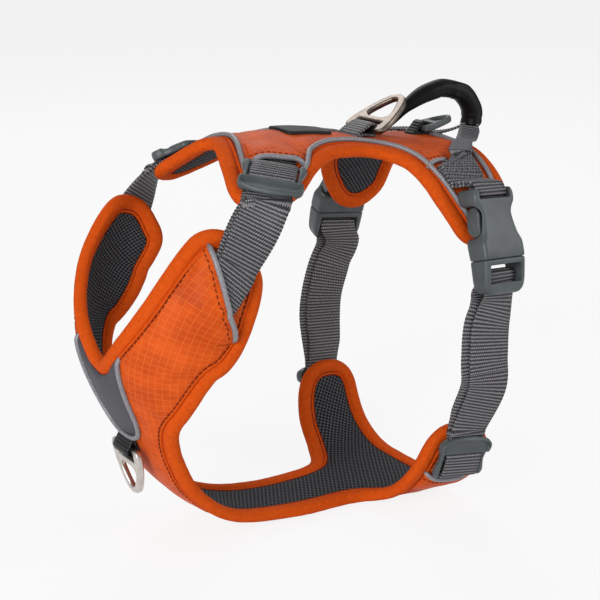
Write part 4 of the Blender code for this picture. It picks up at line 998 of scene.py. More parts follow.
def strap_mesh(name, spine, path, widths, shifts):
    """Ribbed webbing along a path of (length along the spine, height over it), with widths and sideways shifts."""
    count = len(path)
    rough = np.column_stack([path, np.broadcast_to(widths, count), np.broadcast_to(shifts, count)])
    rough = smooth(rough, 6)
    frames = [spine.frame(s) for s in rough[:, 0]]
    line = np.array([place + n * out + shift * across
                     for (place, _, out, across), n, shift in zip(frames, rough[:, 1], rough[:, 3])])
    across = np.array([frame_at[3] for frame_at in frames])
    along = lengths_along(line)
    step = RIB_STEP / ROWS_PER_RIB
    wanted = np.linspace(0.0, along[-1], max(2, round(along[-1] / step) + 1))
    line = np.stack([np.interp(wanted, along, line[:, i]) for i in range(3)], axis=1)
    across = np.stack([np.interp(wanted, along, across[:, i]) for i in range(3)], axis=1)
    width = np.interp(wanted, along, rough[:, 2])
    tangents = np.gradient(line, axis=0)
    outward = np.cross(across, tangents)
    outward /= np.linalg.norm(outward, axis=1, keepdims=True)
    rib = RIB_HEIGHT * np.cos(2 * math.pi * wanted / RIB_STEP)
    shares = np.array([-1.0, -0.97, -0.6, 0.0, 0.6, 0.97, 1.0, 0.97, 0.6, 0.0, -0.6, -0.97])
    sides = np.array([0.0, 0.8, 1.0, 1.0, 1.0, 0.8, 0.0, -0.8, -1.0, -1.0, -1.0, -0.8])
    half = WEBBING_THICKNESS / 2
    bead = 1 + 0.012 * np.cos(2 * math.pi * wanted / RIB_STEP + math.pi)
    reach = width[:, None] / 2 * shares[None] * bead[:, None]
    raised = (half + rib[:, None] * np.sign(np.abs(sides))[None]) * sides[None]
    points = line[:, None] + reach[..., None] * across[:, None] + raised[..., None] * outward[:, None]
    places = np.stack(np.broadcast_arrays(wanted[:, None], width[:, None] / 2 * shares[None]), axis=-1)
    ends = [line[:1, None] + 0 * points[:1], line[-1:, None] + 0 * points[:1]]
    points = np.concatenate([ends[0], points, ends[1]])
    places = np.concatenate([places[:1], places, places[-1:]])
    return grid_mesh(name, points, places, closed=True)


def bend(centre, radius, start, end, pieces=6):
    """Points on a bend round a bar, as (length, height), from one angle to another in degrees."""
    angles = [math.radians(start + (end - start) * i / pieces) for i in range(pieces + 1)]
    return [(centre[0] + radius * math.cos(a), centre[1] + radius * math.sin(a)) for a in angles]


def under_slider(form, place, direction, height):
    """Four points in line under a slider on a form, and the direction out of it; direction is as (u, v)."""
    middle = form.point(*place, height)
    ahead = form.point(place[0] + direction[0], place[1] + direction[1], height)
    along = unit(ahead - middle)
    out = form.normal(*place)
    along = unit(along - np.dot(along, out) * out)
    return [middle + along * reach for reach in (-STRAIGHT_REACH, 0.0, STRAIGHT_REACH, STRAIGHT_REACH + 5.0)], [out] * 4


def buckle_frame():
    """Seam point, and the directions across, up and out of the left buckle."""
    up = unit(np.array(BUCKLE_TOP) - SEAM)
    yaw = math.radians(BUCKLE_YAW)
    out = np.array((math.sin(yaw), -math.cos(yaw), 0.0))
    out = unit(out - np.dot(out, up) * up)
    return np.array(SEAM, float), np.cross(up, out), up, out


def add_strap(name, spine, path, widths, side, material, replaces=(), shifts=0.0):
    """A length of webbing on the left side, or its mirror image on the right; it may lie to one side of its line."""
    mesh = strap_mesh(name, spine, path, widths, shifts)
    if side > 0:
        mesh.transform(Matrix.Diagonal((1.0, -1.0, 1.0, 1.0)))
    return add_piece(name, mesh, material, None, replaces)


def at(spine, s, side):
    """A place on a strap's line in metres, on the left side or mirrored."""
    return Vector(spine.frame(s)[0] * (1, -side, 1) * MM)


def loop_over(s):
    """The strap's end under a slider's broad bar, over its middle and round its far rod, coming down the strap."""
    rod_at, rod_level, rod_radius = SLIDER_ROD
    around = rod_radius + WEBBING_THICKNESS / 2 + 0.1
    steps = [(13.5, OUTER_LAYER), (7.5, OUTER_LAYER), (5.0, OUTER_LAYER + 0.5), (3.0, OVER_BAR - 0.9), (0.5, OVER_BAR),
             (-5.0, OVER_BAR + 0.1), (-8.5, OVER_BAR)]
    steps += bend((rod_at, rod_level), around, 90, 265, 6)
    steps += [(-7.5, rod_level - around + 0.1)]
    return [(s + step, height) for step, height in steps]


def under_travel(s, slider_at):
    """The inner layer's height, which sinks where a slider passes over it on its way to the strap's start."""
    return -OUTER_LAYER - SLIDER_ROOM * np.interp(s, slider_at - SLIDER_TRAVEL, (1.0, 0.0))


def add_straps():
    seam, across, up, out = buckle_frame()
    bar = seam + up * STRAP_BAR_PLACE + out * STRAP_BAR_LEVEL
    for side, word in SIDES:
        points, normals = under_slider(chest, BELLY_SLIDER_PLACE, BELLY_SLIDER_DIRECTION, STRAP_HEIGHT)
        leaning = [np.add(direction, (GIRTH_LEAN[word], 0.0, 0.0)) for direction in GIRTH_DIRECTIONS]
        hanging = [np.add(point, (share * GIRTH_SWAY[word], 0.0, 0.0)) for point, share in zip(GIRTH_POINTS, SWAY_SHARES)]
        points = [chest.point(249, -62, 3.2)] + points + hanging
        points += [bar - up * 14.0 - out * GIRTH_SETBACK, bar, bar + up * BEYOND_BAR]
        normals = [chest.normal(249, -62)] + normals + leaning + [out, out, out]
        girth = Spine(points, normals)
        slider_at = girth.at_point(2)
        bar_at = girth.along[-1] - BEYOND_BAR
        middle = (slider_at + bar_at) / 2
        straight = slider_at + STRAIGHT_REACH + 5.0
        inner = [(s, under_travel(s, slider_at)) for s in np.linspace(0.0, bar_at - 22.0, 22)]
        inner += [(bar_at - 15.0, -3.2), (bar_at - 9.0, -5.0), (bar_at - 4.0, -4.6)]
        inner += bend((bar_at, 0.0), STRAP_BAR_LOOP, -90, 0)
        upper = bend((bar_at, 0.0), STRAP_BAR_LOOP, 0, 90) + [(bar_at - 8.0, (OUTER_LAYER + STRAP_BAR_LOOP) / 2)]
        upper += [(s, OUTER_LAYER) for s in np.linspace(bar_at - 16.0, middle, 6)]
        lower = [(s, OUTER_LAYER) for s in np.linspace(middle, straight, 5)] + loop_over(slider_at)
        slid = LAYER_SIDE[word] * LAYER_SHIFT * np.interp(
            [s for s, _ in inner], (slider_at + 12.0, slider_at + 30.0, bar_at - 11.0, bar_at - 3.0), (0.0, 1.0, 1.0, 0.0))
        low, high = at(girth, middle, side), at(girth, bar_at - 12.0, side)
        for part, path, shifts in (("inner", inner, slid), ("upper", upper, 0.0)):
            node = [f"girth_strap_{word}"] if part == "inner" else ()
            made = add_strap(f"girth_webbing_{part}_{word}", girth, path, WEBBING_WIDTH, side, webbing,
                             node, shifts)
            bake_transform(made)
        made = add_strap(f"girth_webbing_lower_{word}", girth, lower, WEBBING_WIDTH, side, webbing)
        at(girth, slider_at + 14.0, side)
        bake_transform(made)
    height = STRAP_HEIGHT + NECK_SLIDER_LIFT
    points, normals = under_slider(back, NECK_SLIDER_PLACE, NECK_SLIDER_DIRECTION, height)
    points = [back.point(*place) for place in NECK_STRAP_START] + points[1:]
    normals = [back.normal(*place[:2]) for place in NECK_STRAP_START] + normals[1:]
    points += [chest.point(*place) for place in ARM_STRAP_POINTS]
    normals += [chest.normal(*place[:2]) for place in ARM_STRAP_POINTS]
    neck = Spine(points, normals)
    slider_at = neck.at_point(2)
    end = neck.along[-1]
    inner = [(s, under_travel(s, slider_at)) for s in np.linspace(0.0, end, 24)]
    outer = [(s, OUTER_LAYER) for s in np.linspace(end, slider_at + 18.0, 9)] + loop_over(slider_at)
    lip_at = [neck.at_point(number) for number in (-3, -2, -1)]
    to_armhole = np.sign(np.dot(neck.frame(lip_at[1])[3], chest.point(-70, -90) - chest.point(-70, -77)))

    def tucked(path, shift):
        """Widths and shifts along a neck strap, which the lips cover at its ends."""
        lengths = [s for s, _ in path]
        widths = np.interp(lengths, (0.0, NECK_STRAP_TUCK[0], *lip_at), (NECK_STRAP_TUCK[1], WEBBING_WIDTH, *ARM_STRAP_WIDTHS))
        covered = np.interp(lengths, lip_at, [(WEBBING_WIDTH - width) / 2 for width in ARM_STRAP_WIDTHS])
        return widths, shift + to_armhole * covered

    for side, word in SIDES:
        widths, shifts = tucked(inner, NECK_SHIFT)
        made = add_strap(f"neck_webbing_inner_{word}", neck, inner, widths, side, webbing,
                         [f"neck_strap_{word}"], shifts)
        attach(made, "harness")
        widths, shifts = tucked(outer, 0.0)
        made = add_strap(f"neck_webbing_outer_{word}", neck, outer, widths, side, webbing, (), shifts)
        at(neck, slider_at + 34.0, side)
        at(neck, slider_at + 14.0, side)
        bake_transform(made)
    for name, spine in (("belly_slider", girth), ("neck_slider", neck)):
        place, tangent, outward, _ = spine.frame(spine.at_point(2))
        home = (place, np.cross(tangent, outward), tangent, outward)
        for side, word in SIDES:
            add_moulded(f"{name}_moulding_{word}", slider_distance, ((-19, -15, -1), (19, 16, 7.5)), 0.55, home, side,
                        plastic, f"{name}_{word}", [f"{name}_{word}"])


def stitch_field(name, spine, reach, height, edges_at):
    """A close field of short, uneven stitches on top of a strap, each row half a step off the last."""
    meshes = []
    rows = np.arange(reach[0], reach[1], FIELD_STEP)
    pitch = FIELD_PITCH
    for number, s in enumerate(rows):
        low, high = edges_at(s)
        for offset in np.arange(low + 1.3 + (number % 2) * pitch / 2, high - 1.0, pitch):
            points, outs = [], []
            for along, lift in ((-0.75, -0.35), (-0.45, 0.28), (0.45, 0.28), (0.75, -0.35)):
                uneven = math.sin(12.9 * number + 7.3 * offset)
                place, _, out, across = spine.frame(s + (along * 0.7 + 0.25 * uneven) * FIELD_STEP)
                lean = (number % 3 - 1) * 0.4 * along + 0.3 * uneven * (1 + along)
                points.append(place + across * (offset + lean) + out * (height + lift))
                outs.append(out)
            section = np.broadcast_to(oval(STITCH_RADIUS, STITCH_RADIUS, 5), (4, 5, 2))
            meshes.append(swept(name, np.array(points), np.array(outs), section))
    return joined(name, meshes)


def add_wing_straps():
    """Webbing sewn on each wing that loops round the female buckle's top bar, with its field of stitches."""
    seam, across, up, out = buckle_frame()
    bar = seam + up * (FEMALE_LENGTH - FEMALE_BAR / 2)
    seat = SHELL_PLATEAU + 2.2
    points = [back.point(u, v, seat) for u, v in WING_STRAP_POINTS]
    normals = [back.normal(u, v) for u, v in WING_STRAP_POINTS]
    spine = Spine(points + [bar + up * 4.5, bar, bar - up * BEYOND_BAR], normals + [unit(out + up), out, out])
    bar_at = spine.along[-1] - BEYOND_BAR
    around = 3.1
    path = [(s, -0.9) for s in np.linspace(4.0, bar_at - 6.0, 6)]
    path += bend((bar_at, 0.0), around, -110, 110, 10)
    path += [(s, 0.9) for s in np.linspace(bar_at - 6.0, 0.0, 12)]
    to_front = -np.sign(spine.frame(bar_at / 2)[3][0])

    def edges_at(s):
        """How far the strap reaches to either side of its spine."""
        front = np.interp(s, WING_REACH_AT + [bar_at - 1.0], WING_REACH_FRONT + [WEBBING_WIDTH / 2])
        rear = np.interp(s, WING_REACH_AT + [bar_at - 1.0], WING_REACH_REAR + [WEBBING_WIDTH / 2])
        return (-rear, front) if to_front > 0 else (-front, rear)

    low, high = edges_at([s for s, _ in path])
    for side, word in SIDES:
        made = add_strap(f"wing_strap_{word}", spine, path, high - low, side, webbing,
                         [f"wing_webbing_{word}"], (low + high) / 2)
        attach(made, "harness")
        mesh = stitch_field(f"wing_stitches_{word}", spine, FIELD_REACH, 0.9 + WEBBING_THICKNESS / 2, edges_at)
        if side > 0:
            mesh.transform(Matrix.Diagonal((1.0, -1.0, 1.0, 1.0)))
        add_piece(f"wing_stitches_{word}", mesh, grey_thread, "harness", ())


def add_handle():
    """The padded sleeve with its seam fin and wrinkles, and the two webbing legs that run from it to the wings."""
    line = spaced(smooth([point for point, _ in HANDLE_LINE], 12), 0.8)
    rough = smooth([point for point, _ in HANDLE_LINE], 12)
    radii = np.interp(lengths_along(line), lengths_along(rough), smooth([(r,) for _, r in HANDLE_LINE], 12)[:, 0])
    sides = 30
    normals = np.cross(np.gradient(line, axis=0), (0.0, 1.0, 0.0))
    angles = np.linspace(0.0, 2 * math.pi, sides, endpoint=False)
    along = lengths_along(line)
    share = along / along[-1]
    turned = np.abs(np.angle(np.exp(1j * (angles - math.radians(50.0)))))
    fin = 1.9 * np.exp(-(turned / 0.2) ** 2)[None] * (ease((share - 0.62) / 0.12) * ease((1.02 - share) / 0.06))[:, None]
    samples = np.stack(np.broadcast_arrays(along[:, None] / 4.0, 0.7 * np.cos(angles)[None], 0.7 * np.sin(angles)[None]), -1)
    inside = (0.5 - 0.5 * np.sin(angles))[None] * np.exp(-((share - 0.66) / 0.14) ** 2)[:, None]
    crease = 0.35 * ripples(samples, 1.0, 4.0) * inside * 2 + 0.16 * ripples(samples * (0.5, 1, 1), 1.0, 9.0)
    hem = 0.4 * np.exp(-((along - along[-1] + 4.5) / 1.0) ** 2)[:, None]
    reach = radii[:, None] * (1 + 0.03 * np.cos(2 * angles)[None]) + (fin + crease - hem) * (radii / radii.max())[:, None]
    flat = 1 + 0.16 * ease((share - 0.7) / 0.25)[:, None]
    section = np.stack([reach * flat * np.cos(angles)[None], reach / flat * np.sin(angles)[None]], axis=-1)
    made = add_piece("handle_grip", swept("handle_grip", line, normals, section), sleeve, "handle", ["handle_sleeve"])
    stations = [(middle, across, width / 2, width / 2) for middle, across, width in LEG_STATIONS]
    stations += [(back.point(u, v, LEG_FOOT_HEIGHT), (1.0, 0.0, 0.0), front, rear) for u, v, front, rear in LEG_FEET]
    points = np.array([row[0] for row in stations])
    normals = np.cross([unit(row[1]) for row in stations], np.gradient(points, axis=0))
    spine = Spine(points, normals / np.linalg.norm(normals, axis=1, keepdims=True))
    to_front = -np.sign(spine.frame(spine.along[-1] - 8.0)[3][0])
    path = [(s, 0.0) for s in np.linspace(0.0, spine.along[-1], 26)]
    front, rear = (np.interp([s for s, _ in path], spine.along[::SPINE_PIECES], [row[i] for row in stations]) for i in (2, 3))
    for side, word in SIDES:
        made = add_strap(f"handle_leg_{word}", spine, path, front + rear, side, webbing,
                         [f"handle_webbing_{word}"], to_front * (front - rear) / 2)
        at(spine, spine.along[-1] - 6.0, side)
        at(spine, 6.0, side)
        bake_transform(made)


def add_rings():
    """The leash rings and the loop for a light, each hung on its own webbing."""
    for name, form, place, tilt, tail, share, size, bar, slot, webbing_width, finish, cloth, slots, play in (
            ("back_ring", back, BACK_RING_PLACE, 38.0, 9.0, 1.0, RING_SIZE, RING_BAR, RING_SLOT, RING_WEBBING_WIDTH,
             warm_nickel, webbing, ("satin_nickel", "grey_webbing"), 1.5),
            ("chest_ring", chest, CHEST_RING_PLACE, 14.0, 5.4, CHEST_RING_SHARE, RING_SIZE, RING_BAR, RING_SLOT,
             RING_WEBBING_WIDTH, pale_nickel, dark_webbing, ("pale_nickel", "black_webbing"), 1.5),
            ("light_loop", back, LIGHT_PLACE, 16.0, 6.0, 1.0, LIGHT_SIZE, LIGHT_BAR, LIGHT_SLOT, LIGHT_WEBBING_WIDTH,
             plastic, dark_webbing, ("buckle_plastic", "black_webbing"), 1.0)):
        width, length, thickness = size[0] * share, size[1] * share, size[2]
        out = form.normal(*place)
        along = unit(np.cross((0.0, 1.0, 0.0), out)) * form.outward
        origin = form.point(*place, RING_LIFT + math.hypot(bar, thickness) / 2)
        direction = along * math.cos(math.radians(tilt)) + out * math.sin(math.radians(tilt))
        across = np.array((0.0, -1.0, 0.0)) * form.outward
        home = (origin, across, direction, np.cross(across, direction))
        cloth_width = webbing_width * share

        def distance(x, y, z):
            return ring_distance(x, y, z, width, length, thickness, bar, slot, cloth_width + 2 * play)

        corners = ((-width / 2 - 2, -bar - 1, -thickness), (width / 2 + 2, length + 1, thickness))
        add_moulded(name + "_casting", distance, corners, 0.45, home, -1, finish, name, [name])
        reach = math.hypot(bar, thickness) / 2 + 0.3 + WEBBING_THICKNESS / 2
        steps = np.linspace(-tail - 4.0, 0.0, 6)
        points = [form.point(place[0] + s, place[1], RING_WEBBING_SEAT) for s in steps]
        normals = [form.normal(place[0] + s, place[1]) for s in steps]
        spine = Spine(points + [points[-1] + along * BEYOND_BAR], normals + [out])
        bar_at = spine.at_point(5)
        lift = np.dot(origin - points[-1], out)
        path = [(bar_at - tail - 2.0, -1.6), (bar_at - tail * 0.7, 0.0), (bar_at - reach, 0.0)]
        path += bend((bar_at, lift), reach, -90, 125, 10)
        path += [(bar_at - tail * 0.68, 0.5 * (lift + reach)), (bar_at - tail, WEBBING_THICKNESS * 0.7),
                 (bar_at - tail - 2.0, -1.2)]
        made = add_strap(name + "_band", spine, path, cloth_width, -1, cloth, [name + "_webbing"])
        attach(made, "harness")


def add_label():
    """A soft rubber label on the back's crown, left plain, with a raised rim and rounded corners."""
    edge = oval(LABEL_LENGTH / 2, LABEL_WIDTH / 2, 96, 7.0)
    shares = np.array([0.0, 0.3, 0.6, 0.84, 0.87, 0.90, 0.95, 0.98, 1.0, 1.0])
    heights = np.array([3.2, 3.2, 3.2, 3.2, 3.35, 3.7, 3.7, 3.5, 3.0, 0.8])
    place = edge[None] * shares[:, None, None] + LABEL_CENTRE
    points = back.point(place[..., 0], place[..., 1], np.broadcast_to(heights[:, None], place.shape[:2]))
    mesh = grid_mesh("label_plate", points, place, closed=True)
    add_piece("label_plate", mesh, rubber, "harness", ["top_label"])


def add_badge():
    """The dark cloth panel on the chest, left plain, drawn in at its seam."""
    half = [row[0] for row in BADGE_ROWS] + [row[1] for row in BADGE_ROWS[::-1]]
    whole = half + [(u, -v) for u, v in half[-2:0:-1]]
    outline = spaced(np.array(whole + whole[:1], float), 2.0)[:-1]

    def badge_height(points, distance, nearest):
        rise = 1 - np.exp(-(distance / 1.8) ** 2)
        return SHELL_PLATEAU - 0.3 + 1.2 * rise + 0.3 * ripples(points, 14.0, 4.4) * rise

    mesh = panel_mesh("badge_panel", chest, BADGE_ROWS, outline, badge_height, 8, 30)
    made = add_piece("badge_panel", mesh, badge_cloth, "harness", ["chest_badge"])
    face_outward(mesh, chest, chest.outward)
    add_modifier(made, "SOLIDIFY", thickness=0.8 * MM, offset=-1.0)


# Moulded and cast pieces
def polygon_distance(x, y, outline):
    """The distance to a closed outline over a grid, below zero inside."""
    shape = np.broadcast(x, y).shape
    nearest = np.full(shape, 1e9)
    inside = np.zeros(shape, bool)
    for (ax, ay), (bx, by) in zip(outline, np.roll(outline, -1, axis=0)):
        ex, ey = bx - ax, by - ay
        wx, wy = x - ax, y - ay
        share = np.clip((wx * ex + wy * ey) / (ex * ex + ey * ey + 1e-12), 0.0, 1.0)
        nearest = np.minimum(nearest, (wx - share * ex) ** 2 + (wy - share * ey) ** 2)
        if ay != by:
            inside ^= ((ay > y) != (by > y)) & (wx < ex * wy / ey)
    return np.where(inside, -1.0, 1.0) * np.sqrt(nearest)


def extruded(flat, z, low, high, rounding):
    """The distance to a plate from the distance to its outline, with rounded edges."""
    flat = flat + rounding
    tall = np.abs(z - (low + high) / 2) - (high - low) / 2 + rounding
    return np.minimum(np.maximum(flat, tall), 0.0) + np.hypot(np.maximum(flat, 0.0), np.maximum(tall, 0.0)) - rounding


def block(x, y, z, low, high, rounding=0.0):
    """The distance to a box with rounded edges."""
    gaps = [np.abs(value - (a + b) / 2) - (b - a) / 2 + rounding for value, a, b in zip((x, y, z), low, high)]
    outside = np.sqrt(sum(np.maximum(gap, 0.0) ** 2 for gap in gaps))
    return outside + np.minimum(np.maximum(np.maximum(gaps[0], gaps[1]), gaps[2]), 0.0) - rounding


def merged(first, second, fillet):
    """The union of two distances, with a fillet between them."""
    share = np.clip(0.5 + 0.5 * (second - first) / fillet, 0.0, 1.0)
    return second * (1 - share) + first * share - fillet * share * (1 - share)


def cut(body, tool, fillet):
    """A body with a tool taken out of it, with a rounded edge."""
    return -merged(-body, tool, fillet)


def trimmed(body, beyond, fillet):
    """What a body has in common with another distance, with a rounded edge."""
    return -merged(-body, -beyond, fillet)


def both_halves(half):
    """A closed outline from its right half, listed from bottom to top, with rounded corners."""
    right = smooth(half, 5)
    return np.vstack([right, right[::-1] * (-1, 1)])


def carved(name, distance, corners, cell):
    """A closed mesh round the places where a distance function of points in millimetres is below zero."""
    axes = [np.arange(low, high + cell, cell) for low, high in zip(*corners)]
    x, y, z = axes[0][:, None, None], axes[1][None, :, None], axes[2][None, None, :]
    field = np.broadcast_to(distance(x, y, z), [len(axis) for axis in axes])
    grid = np.stack(np.meshgrid(*axes, indexing="ij"), axis=-1)
    cells = tuple(len(axis) - 1 for axis in axes)
    total, count = np.zeros(cells + (3,)), np.zeros(cells)
    crossings = []
    for axis in range(3):
        near = np.take(field, range(cells[axis]), axis)
        far = np.take(field, range(1, cells[axis] + 1), axis)
        crossed = (near < 0) != (far < 0)
        share = np.where(crossed, near / np.where(crossed, near - far, 1.0), 0.0)
        place = np.take(grid, range(cells[axis]), axis)
        place[..., axis] += share * cell
        others = [other for other in range(3) if other != axis]
        for first in (0, 1):
            for second in (0, 1):
                pick = [slice(None)] * 3
                pick[others[0]] = slice(first, first + cells[others[0]])
                pick[others[1]] = slice(second, second + cells[others[1]])
                here = crossed[tuple(pick)]
                total += place[tuple(pick)] * here[..., None]
                count += here
        crossings.append((np.argwhere(crossed), others))
    number = np.full(cells, -1)
    number[count > 0] = np.arange(np.count_nonzero(count))
    points = total[count > 0] / count[count > 0][:, None]
    faces = []
    for places, others in crossings:
        corner = []
        for first, second in ((1, 1), (0, 1), (0, 0), (1, 0)):
            shifted = places.copy()
            shifted[:, others[0]] -= first
            shifted[:, others[1]] -= second
            corner.append(number[tuple(shifted.T)])
        faces.append(np.stack(corner, axis=1))
    mesh = bpy.data.meshes.new(name)
    mesh.from_pydata((points * MM).tolist(), [], np.concatenate(faces).tolist())
    return mesh


def add_moulded(name, distance, corners, cell, home, side, material, body, replaces):
    """A moulded piece in its home frame (origin, X, Y and Z), on the left side or mirrored to the right."""
    mesh = carved(name, distance, corners, cell)
    columns = Matrix(home[1:]).transposed().to_4x4()
    mesh.transform(Matrix.Translation(Vector(home[0]) * MM) @ columns)
    if side > 0:
        mesh.transform(Matrix.Diagonal((1.0, -1.0, 1.0, 1.0)))
    return add_piece(name, mesh, material, body, replaces)


def slider_distance(x, y, z):
    """A strap slider: a wavy frame, a broad domed bar over the strap, a middle bar and a thin rod."""
    outline = both_halves([(0.0, -13.0)] + SLIDER_OUTLINE)
    wide, low, high = SLIDER_WINDOW
    flat = polygon_distance(x, y, outline)
    opening = np.maximum(np.abs(x) - wide, np.abs(y - (low + high) / 2) - (high - low) / 2)
    frame_part = extruded(np.maximum(flat, -opening), z, *SLIDER_HEIGHTS, 1.2)
    dome = CRESCENT_HEIGHTS[1] - 0.10 * (y - 8.5) ** 2 * (y > 8.5) - 0.006 * x**2
    crescent = np.maximum(extruded(np.maximum(flat, high - y), z, CRESCENT_HEIGHTS[0], CRESCENT_HEIGHTS[1] + 1.0, 1.0), z - dome)
    body = merged(frame_part, crescent, 1.0)
    passage = block(x, y, z, (-wide, high - 4.0, -9.0), (wide, 30.0, CRESCENT_HEIGHTS[0]))
    body = cut(body, passage, 0.5)
    scoop = np.hypot(y - SCOOP[0], z - SCOOP[1]) - SCOOP[2]
    scoop = np.maximum(scoop, flat + 1.5)
    body = cut(body, scoop, 0.5)
    rod_at, rod_level, rod_radius = SLIDER_ROD
    rod = np.maximum(np.hypot(y - rod_at, z - rod_level) - rod_radius, np.abs(x) - 15.0)
    bar = block(x, y, z, (-15.0, -2.3, 0.4), (15.0, 2.3, 2.9), 0.8)
    return merged(merged(body, rod, 0.6), bar, 0.6)


def ring_distance(x, y, z, width, length, thickness, bar, slot, slot_width):
    """A flat ring with a slot for its webbing, an eye for a clip and soft edges; its bar lies along X."""
    half, base = width / 2, -bar / 2
    outer = [(half / 2, base), (half * 0.86, base), (half, base + 4.0)]
    outer += [(half * a, length * b) for a, b in RING_SIDE_SHARES]
    flat = polygon_distance(x, y, both_halves(outer))
    slot_high = bar / 2 + slot
    hole = np.maximum(np.abs(x) - slot_width / 2, np.abs(y - bar / 2 - slot / 2) - slot / 2)
    low, high, wide = slot_high + 4.0, length * 0.8, half * 0.55
    eye = [(0.6 * wide, low), (wide, low + 3.0), (0.72 * wide, (low + high) / 2 + 1.2), (0.3 * wide, high - 1.2), (0.0, high)]
    flat = np.maximum(np.maximum(flat, -hole), -polygon_distance(x, y, both_halves(eye)))
    return extruded(flat, z, -thickness / 2, thickness / 2, 1.1)


def buckle_face(y):
    """How far the buckle's face stands out at each height."""
    height, middle, reach = BULGE
    return BUCKLE_DEPTH + height * np.exp(-((y - middle) / reach) ** 2)


def female_distance(x, y, z):
    """The female half: an hourglass shell with a strap bar at its top and openings for the prongs' grips."""
    flat = polygon_distance(x, y, both_halves(FEMALE_OUTLINE))
    ear = EAR_REACH * np.clip(y / FEMALE_LENGTH, 0.0, 1.0) * np.clip(0.5 - x / BUCKLE_HALF, 0.0, 1.0)
    body = trimmed(extruded(flat, z, -BUCKLE_DEPTH - ear, buckle_face(y), 2.4), SEAM_GAP - y, SEAM_ROUND)
    side = block(np.abs(x), y, z, (6.0, GRIP_LOW - 0.4, -16.0), (30.0, GRIP_HIGH + 0.4, 3.6), 5.0)
    body = cut(body, side, 1.9)
    cavity = block(x, y, z, (-13.4, -5.0, -3.3), (13.4, 31.0, 3.6), 0.8)
    body = cut(body, cavity, 0.6)
    mouth = block(x, y, z, (-15.4, -5.0, -4.0), (15.4, 3.4, 6.6), 0.8)
    body = cut(body, mouth, 0.3)
    slot = block(x, y, z, (-13.2, 35.0, -12.0), (13.2, 60.0, 12.0), 0.6)
    body = cut(body, slot, 0.6)
    rod = np.maximum(np.hypot(y - FEMALE_LENGTH + FEMALE_BAR / 2, z) - 1.9, np.abs(x) - 14.5)
    return merged(body, rod, 0.7)


def male_distance(x, y, z):
    """The male half: a plate with a window round its strap bar, and a tongue."""
    flat = polygon_distance(x, y, both_halves(MALE_OUTLINE))
    body = trimmed(extruded(flat, z, -BUCKLE_DEPTH, buckle_face(y), 2.4), y + SEAM_GAP, SEAM_ROUND)
    window = block(x, y, z, (-13.3, -14.0, -12.0), (13.3, -3.4, 12.0), 0.8)
    body = cut(body, window, 0.5)
    exit_way = block(x, y, z, (-13.3, -40.0, -12.0), (13.3, -13.0, 3.2), 0.3)
    body = cut(body, exit_way, 0.5)
    rod = np.maximum(np.hypot(y - STRAP_BAR_PLACE, z - STRAP_BAR_LEVEL) - 2.0, np.abs(x) - 15.5)
    plug = block(x, y, z, (-15.1, -2.8, -3.7), (15.1, 3.1, 6.3), 0.8)
    tongue = block(x, y, z, (-3.0, -3.0, -2.0), (3.0, 24.0, 2.0), 0.8)
    return merged(np.minimum(merged(body, rod, 0.6), plug), tongue, 0.8)


def prong_distance(x, y, z):
    """A spring prong on the rear side: a thin arm and a rounded thumb grip."""
    arm = block(x, y, z, (9.6, 0.4, -2.6), (12.6, 16.0, 2.6), 1.0)
    crown = 14.4 - 0.016 * (y - 21.0) ** 2
    grip = block(x, y, z, (9.2, GRIP_LOW, -6.0), (20.0, GRIP_HIGH, 3.2), 4.6)
    grip = np.maximum(grip, x - crown)
    inner = block(x, y, z, (6.0, 0.0, -6.0), (11.0, 40.0, -2.9), 0.3)
    return merged(arm, cut(grip, inner, 0.5), 1.2)


def add_buckles():
    home = buckle_frame()
    for side, word in SIDES:
        add_moulded(f"buckle_shell_{word}", female_distance, ((-19, -1.5, -11.5), (19, 43, 9.6)), 0.6, home, side, plastic,
                    "harness", [f"buckle_female_{word}"])
        add_moulded(f"buckle_plate_{word}", male_distance, ((-19, -22.5, -7), (19, 26, 9.6)), 0.6, home, side, plastic,
                    f"male_{word}", [f"buckle_male_{word}"])
        for sign, end in ((-1, "front"), (1, "rear")):
            add_moulded(f"buckle_grip_{end}_{word}", lambda x, y, z, sign=sign: prong_distance(sign * x, y, z),
                        ((-16.5, -1, -7.5), (16.5, 32, 4.5)), 0.6, home, side, plastic, f"prong_{end}_{word}",
                        [f"buckle_prong_{end}_{word}"])


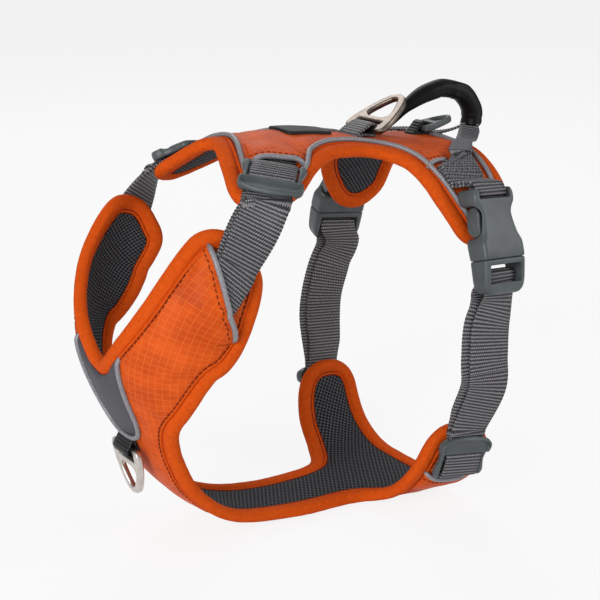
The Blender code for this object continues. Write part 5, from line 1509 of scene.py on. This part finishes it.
# Stage
def add_stage():
    floor_mesh = bpy.data.meshes.new("floor")
    reach = 8.0
    low = cad_low.z - 0.0015
    floor_mesh.from_pydata([(-reach, -reach, low), (reach, -reach, low), (reach, reach, low), (-reach, reach, low)],
                           [], [(0, 1, 2, 3)])
    floor = bpy.data.objects.new("floor", floor_mesh)
    bpy.context.scene.collection.objects.link(floor)
    made, tree, shader = new_material("pale_floor", Roughness=0.9)
    shader.inputs["Base Color"].default_value = linear("#F4F4F4")
    path = add_node(tree, "LightPath")
    glow = add_node(tree, "Emission", {"Color": (1.0, 1.0, 1.0, 1.0), "Strength": 1.0})
    seen = add_node(tree, "Math", {0: path.outputs["Is Camera Ray"], 1: path.outputs["Is Glossy Ray"]}, operation="MAXIMUM")
    share = add_node(tree, "Math", {0: seen.outputs[0], 1: 0.86}, operation="MULTIPLY")
    mixed = add_node(tree, "MixShader", {0: share.outputs[0], 1: shader.outputs[0], 2: glow.outputs[0]})
    tree.links.new(mixed.outputs[0], tree.nodes["Material Output"].inputs["Surface"])
    floor_mesh.materials.append(made)
    world = bpy.data.worlds.new("studio")
    world.use_nodes = True
    sky = world.node_tree.nodes["Background"]
    sky.inputs["Color"].default_value = (1.0, 1.0, 1.0, 1.0)
    path = add_node(world.node_tree, "LightPath")
    seen = add_node(world.node_tree, "Math", {0: path.outputs["Is Glossy Ray"], 1: GLOSSY_SHARE,
                                              2: path.outputs["Is Camera Ray"]}, operation="MULTIPLY_ADD")
    strength = add_node(world.node_tree, "MapRange", {0: seen.outputs[0], 3: WORLD_LIGHT, 4: 1.0})
    world.node_tree.links.new(strength.outputs[0], sky.inputs["Strength"])
    bpy.context.scene.world = world
    for name, place, size, power in (
            ("key_light", (-1.45, -0.9, 0.6), 0.9, 22.0),
            ("side_light", (1.3, -1.1, 0.7), 0.8, 9.0),
            ("rear_light", (0.5, 1.3, 1.3), 1.0, 11.0)):
        data = bpy.data.lights.new(name, "AREA")
        data.size = size
        data.energy = power
        lamp = bpy.data.objects.new(name, data)
        bpy.context.scene.collection.objects.link(lamp)
        lamp.location = place
        lamp.rotation_euler = (-Vector(place)).to_track_quat("-Z", "Y").to_euler()
    azimuth, elevation = math.radians(CAMERA_AZIMUTH), math.radians(CAMERA_ELEVATION)
    behind = Vector((math.sin(azimuth) * math.cos(elevation), -math.cos(azimuth) * math.cos(elevation), math.sin(elevation)))
    data = bpy.data.cameras.new("camera")
    data.lens = CAMERA_LENS
    data.sensor_width = CAMERA_SENSOR
    camera = bpy.data.objects.new("camera", data)
    bpy.context.scene.collection.objects.link(camera)
    camera.location = behind * CAMERA_DISTANCE * MM
    camera.rotation_euler = (-behind).to_track_quat("-Z", "Y").to_euler()
    bpy.context.scene.camera = camera
    bpy.context.scene.view_settings.view_transform = "Standard"


ripstop = ripstop_nylon()
tape = binding_tape()
air_mesh = spacer_mesh()
webbing = nylon_webbing("grey_nylon_webbing", "#2B292D", "#8F8D90")
dark_webbing = nylon_webbing("black_nylon_webbing", "#0C0C0E", "#2A2A2E")
reflective = reflective_tape()
plastic = acetal_plastic()
warm_nickel = plated_zinc("warm_plated_zinc", "#675E57", "#7F746B")
pale_nickel = plated_zinc("pale_plated_zinc", "#BDB5AF", "#D3CCC6")
sleeve = coated_sleeve()
# The orange stitching thread is drawn dark brown: painted shade of the seam grooves it lies in.
groove_shaded_thread = plain_cloth("polyester_thread", "#641E03", "#8A2E06", 0.5, 0.7)
grey_thread = plain_cloth("grey_polyester_thread", "#4A484C", "#8B898D", 0.5, 0.6)
badge_cloth = plain_cloth("badge_cloth", "#414045", "#4D4C51", 0.7, 0.6)
rubber = plain_cloth("soft_rubber", "#17171A", "#1E1E21", 0.8, 0.55)

back = Form(BACK_LINE, BACK_START, BACK_SECTIONS, 1)
chest = Form(CHEST_LINE, CHEST_START, CHEST_SECTIONS, -1, CHEST_GRAIN)

add_stage()
add_panels()
add_trim()
add_straps()
add_wing_straps()
add_handle()
add_rings()
add_label()
add_badge()
add_buckles()
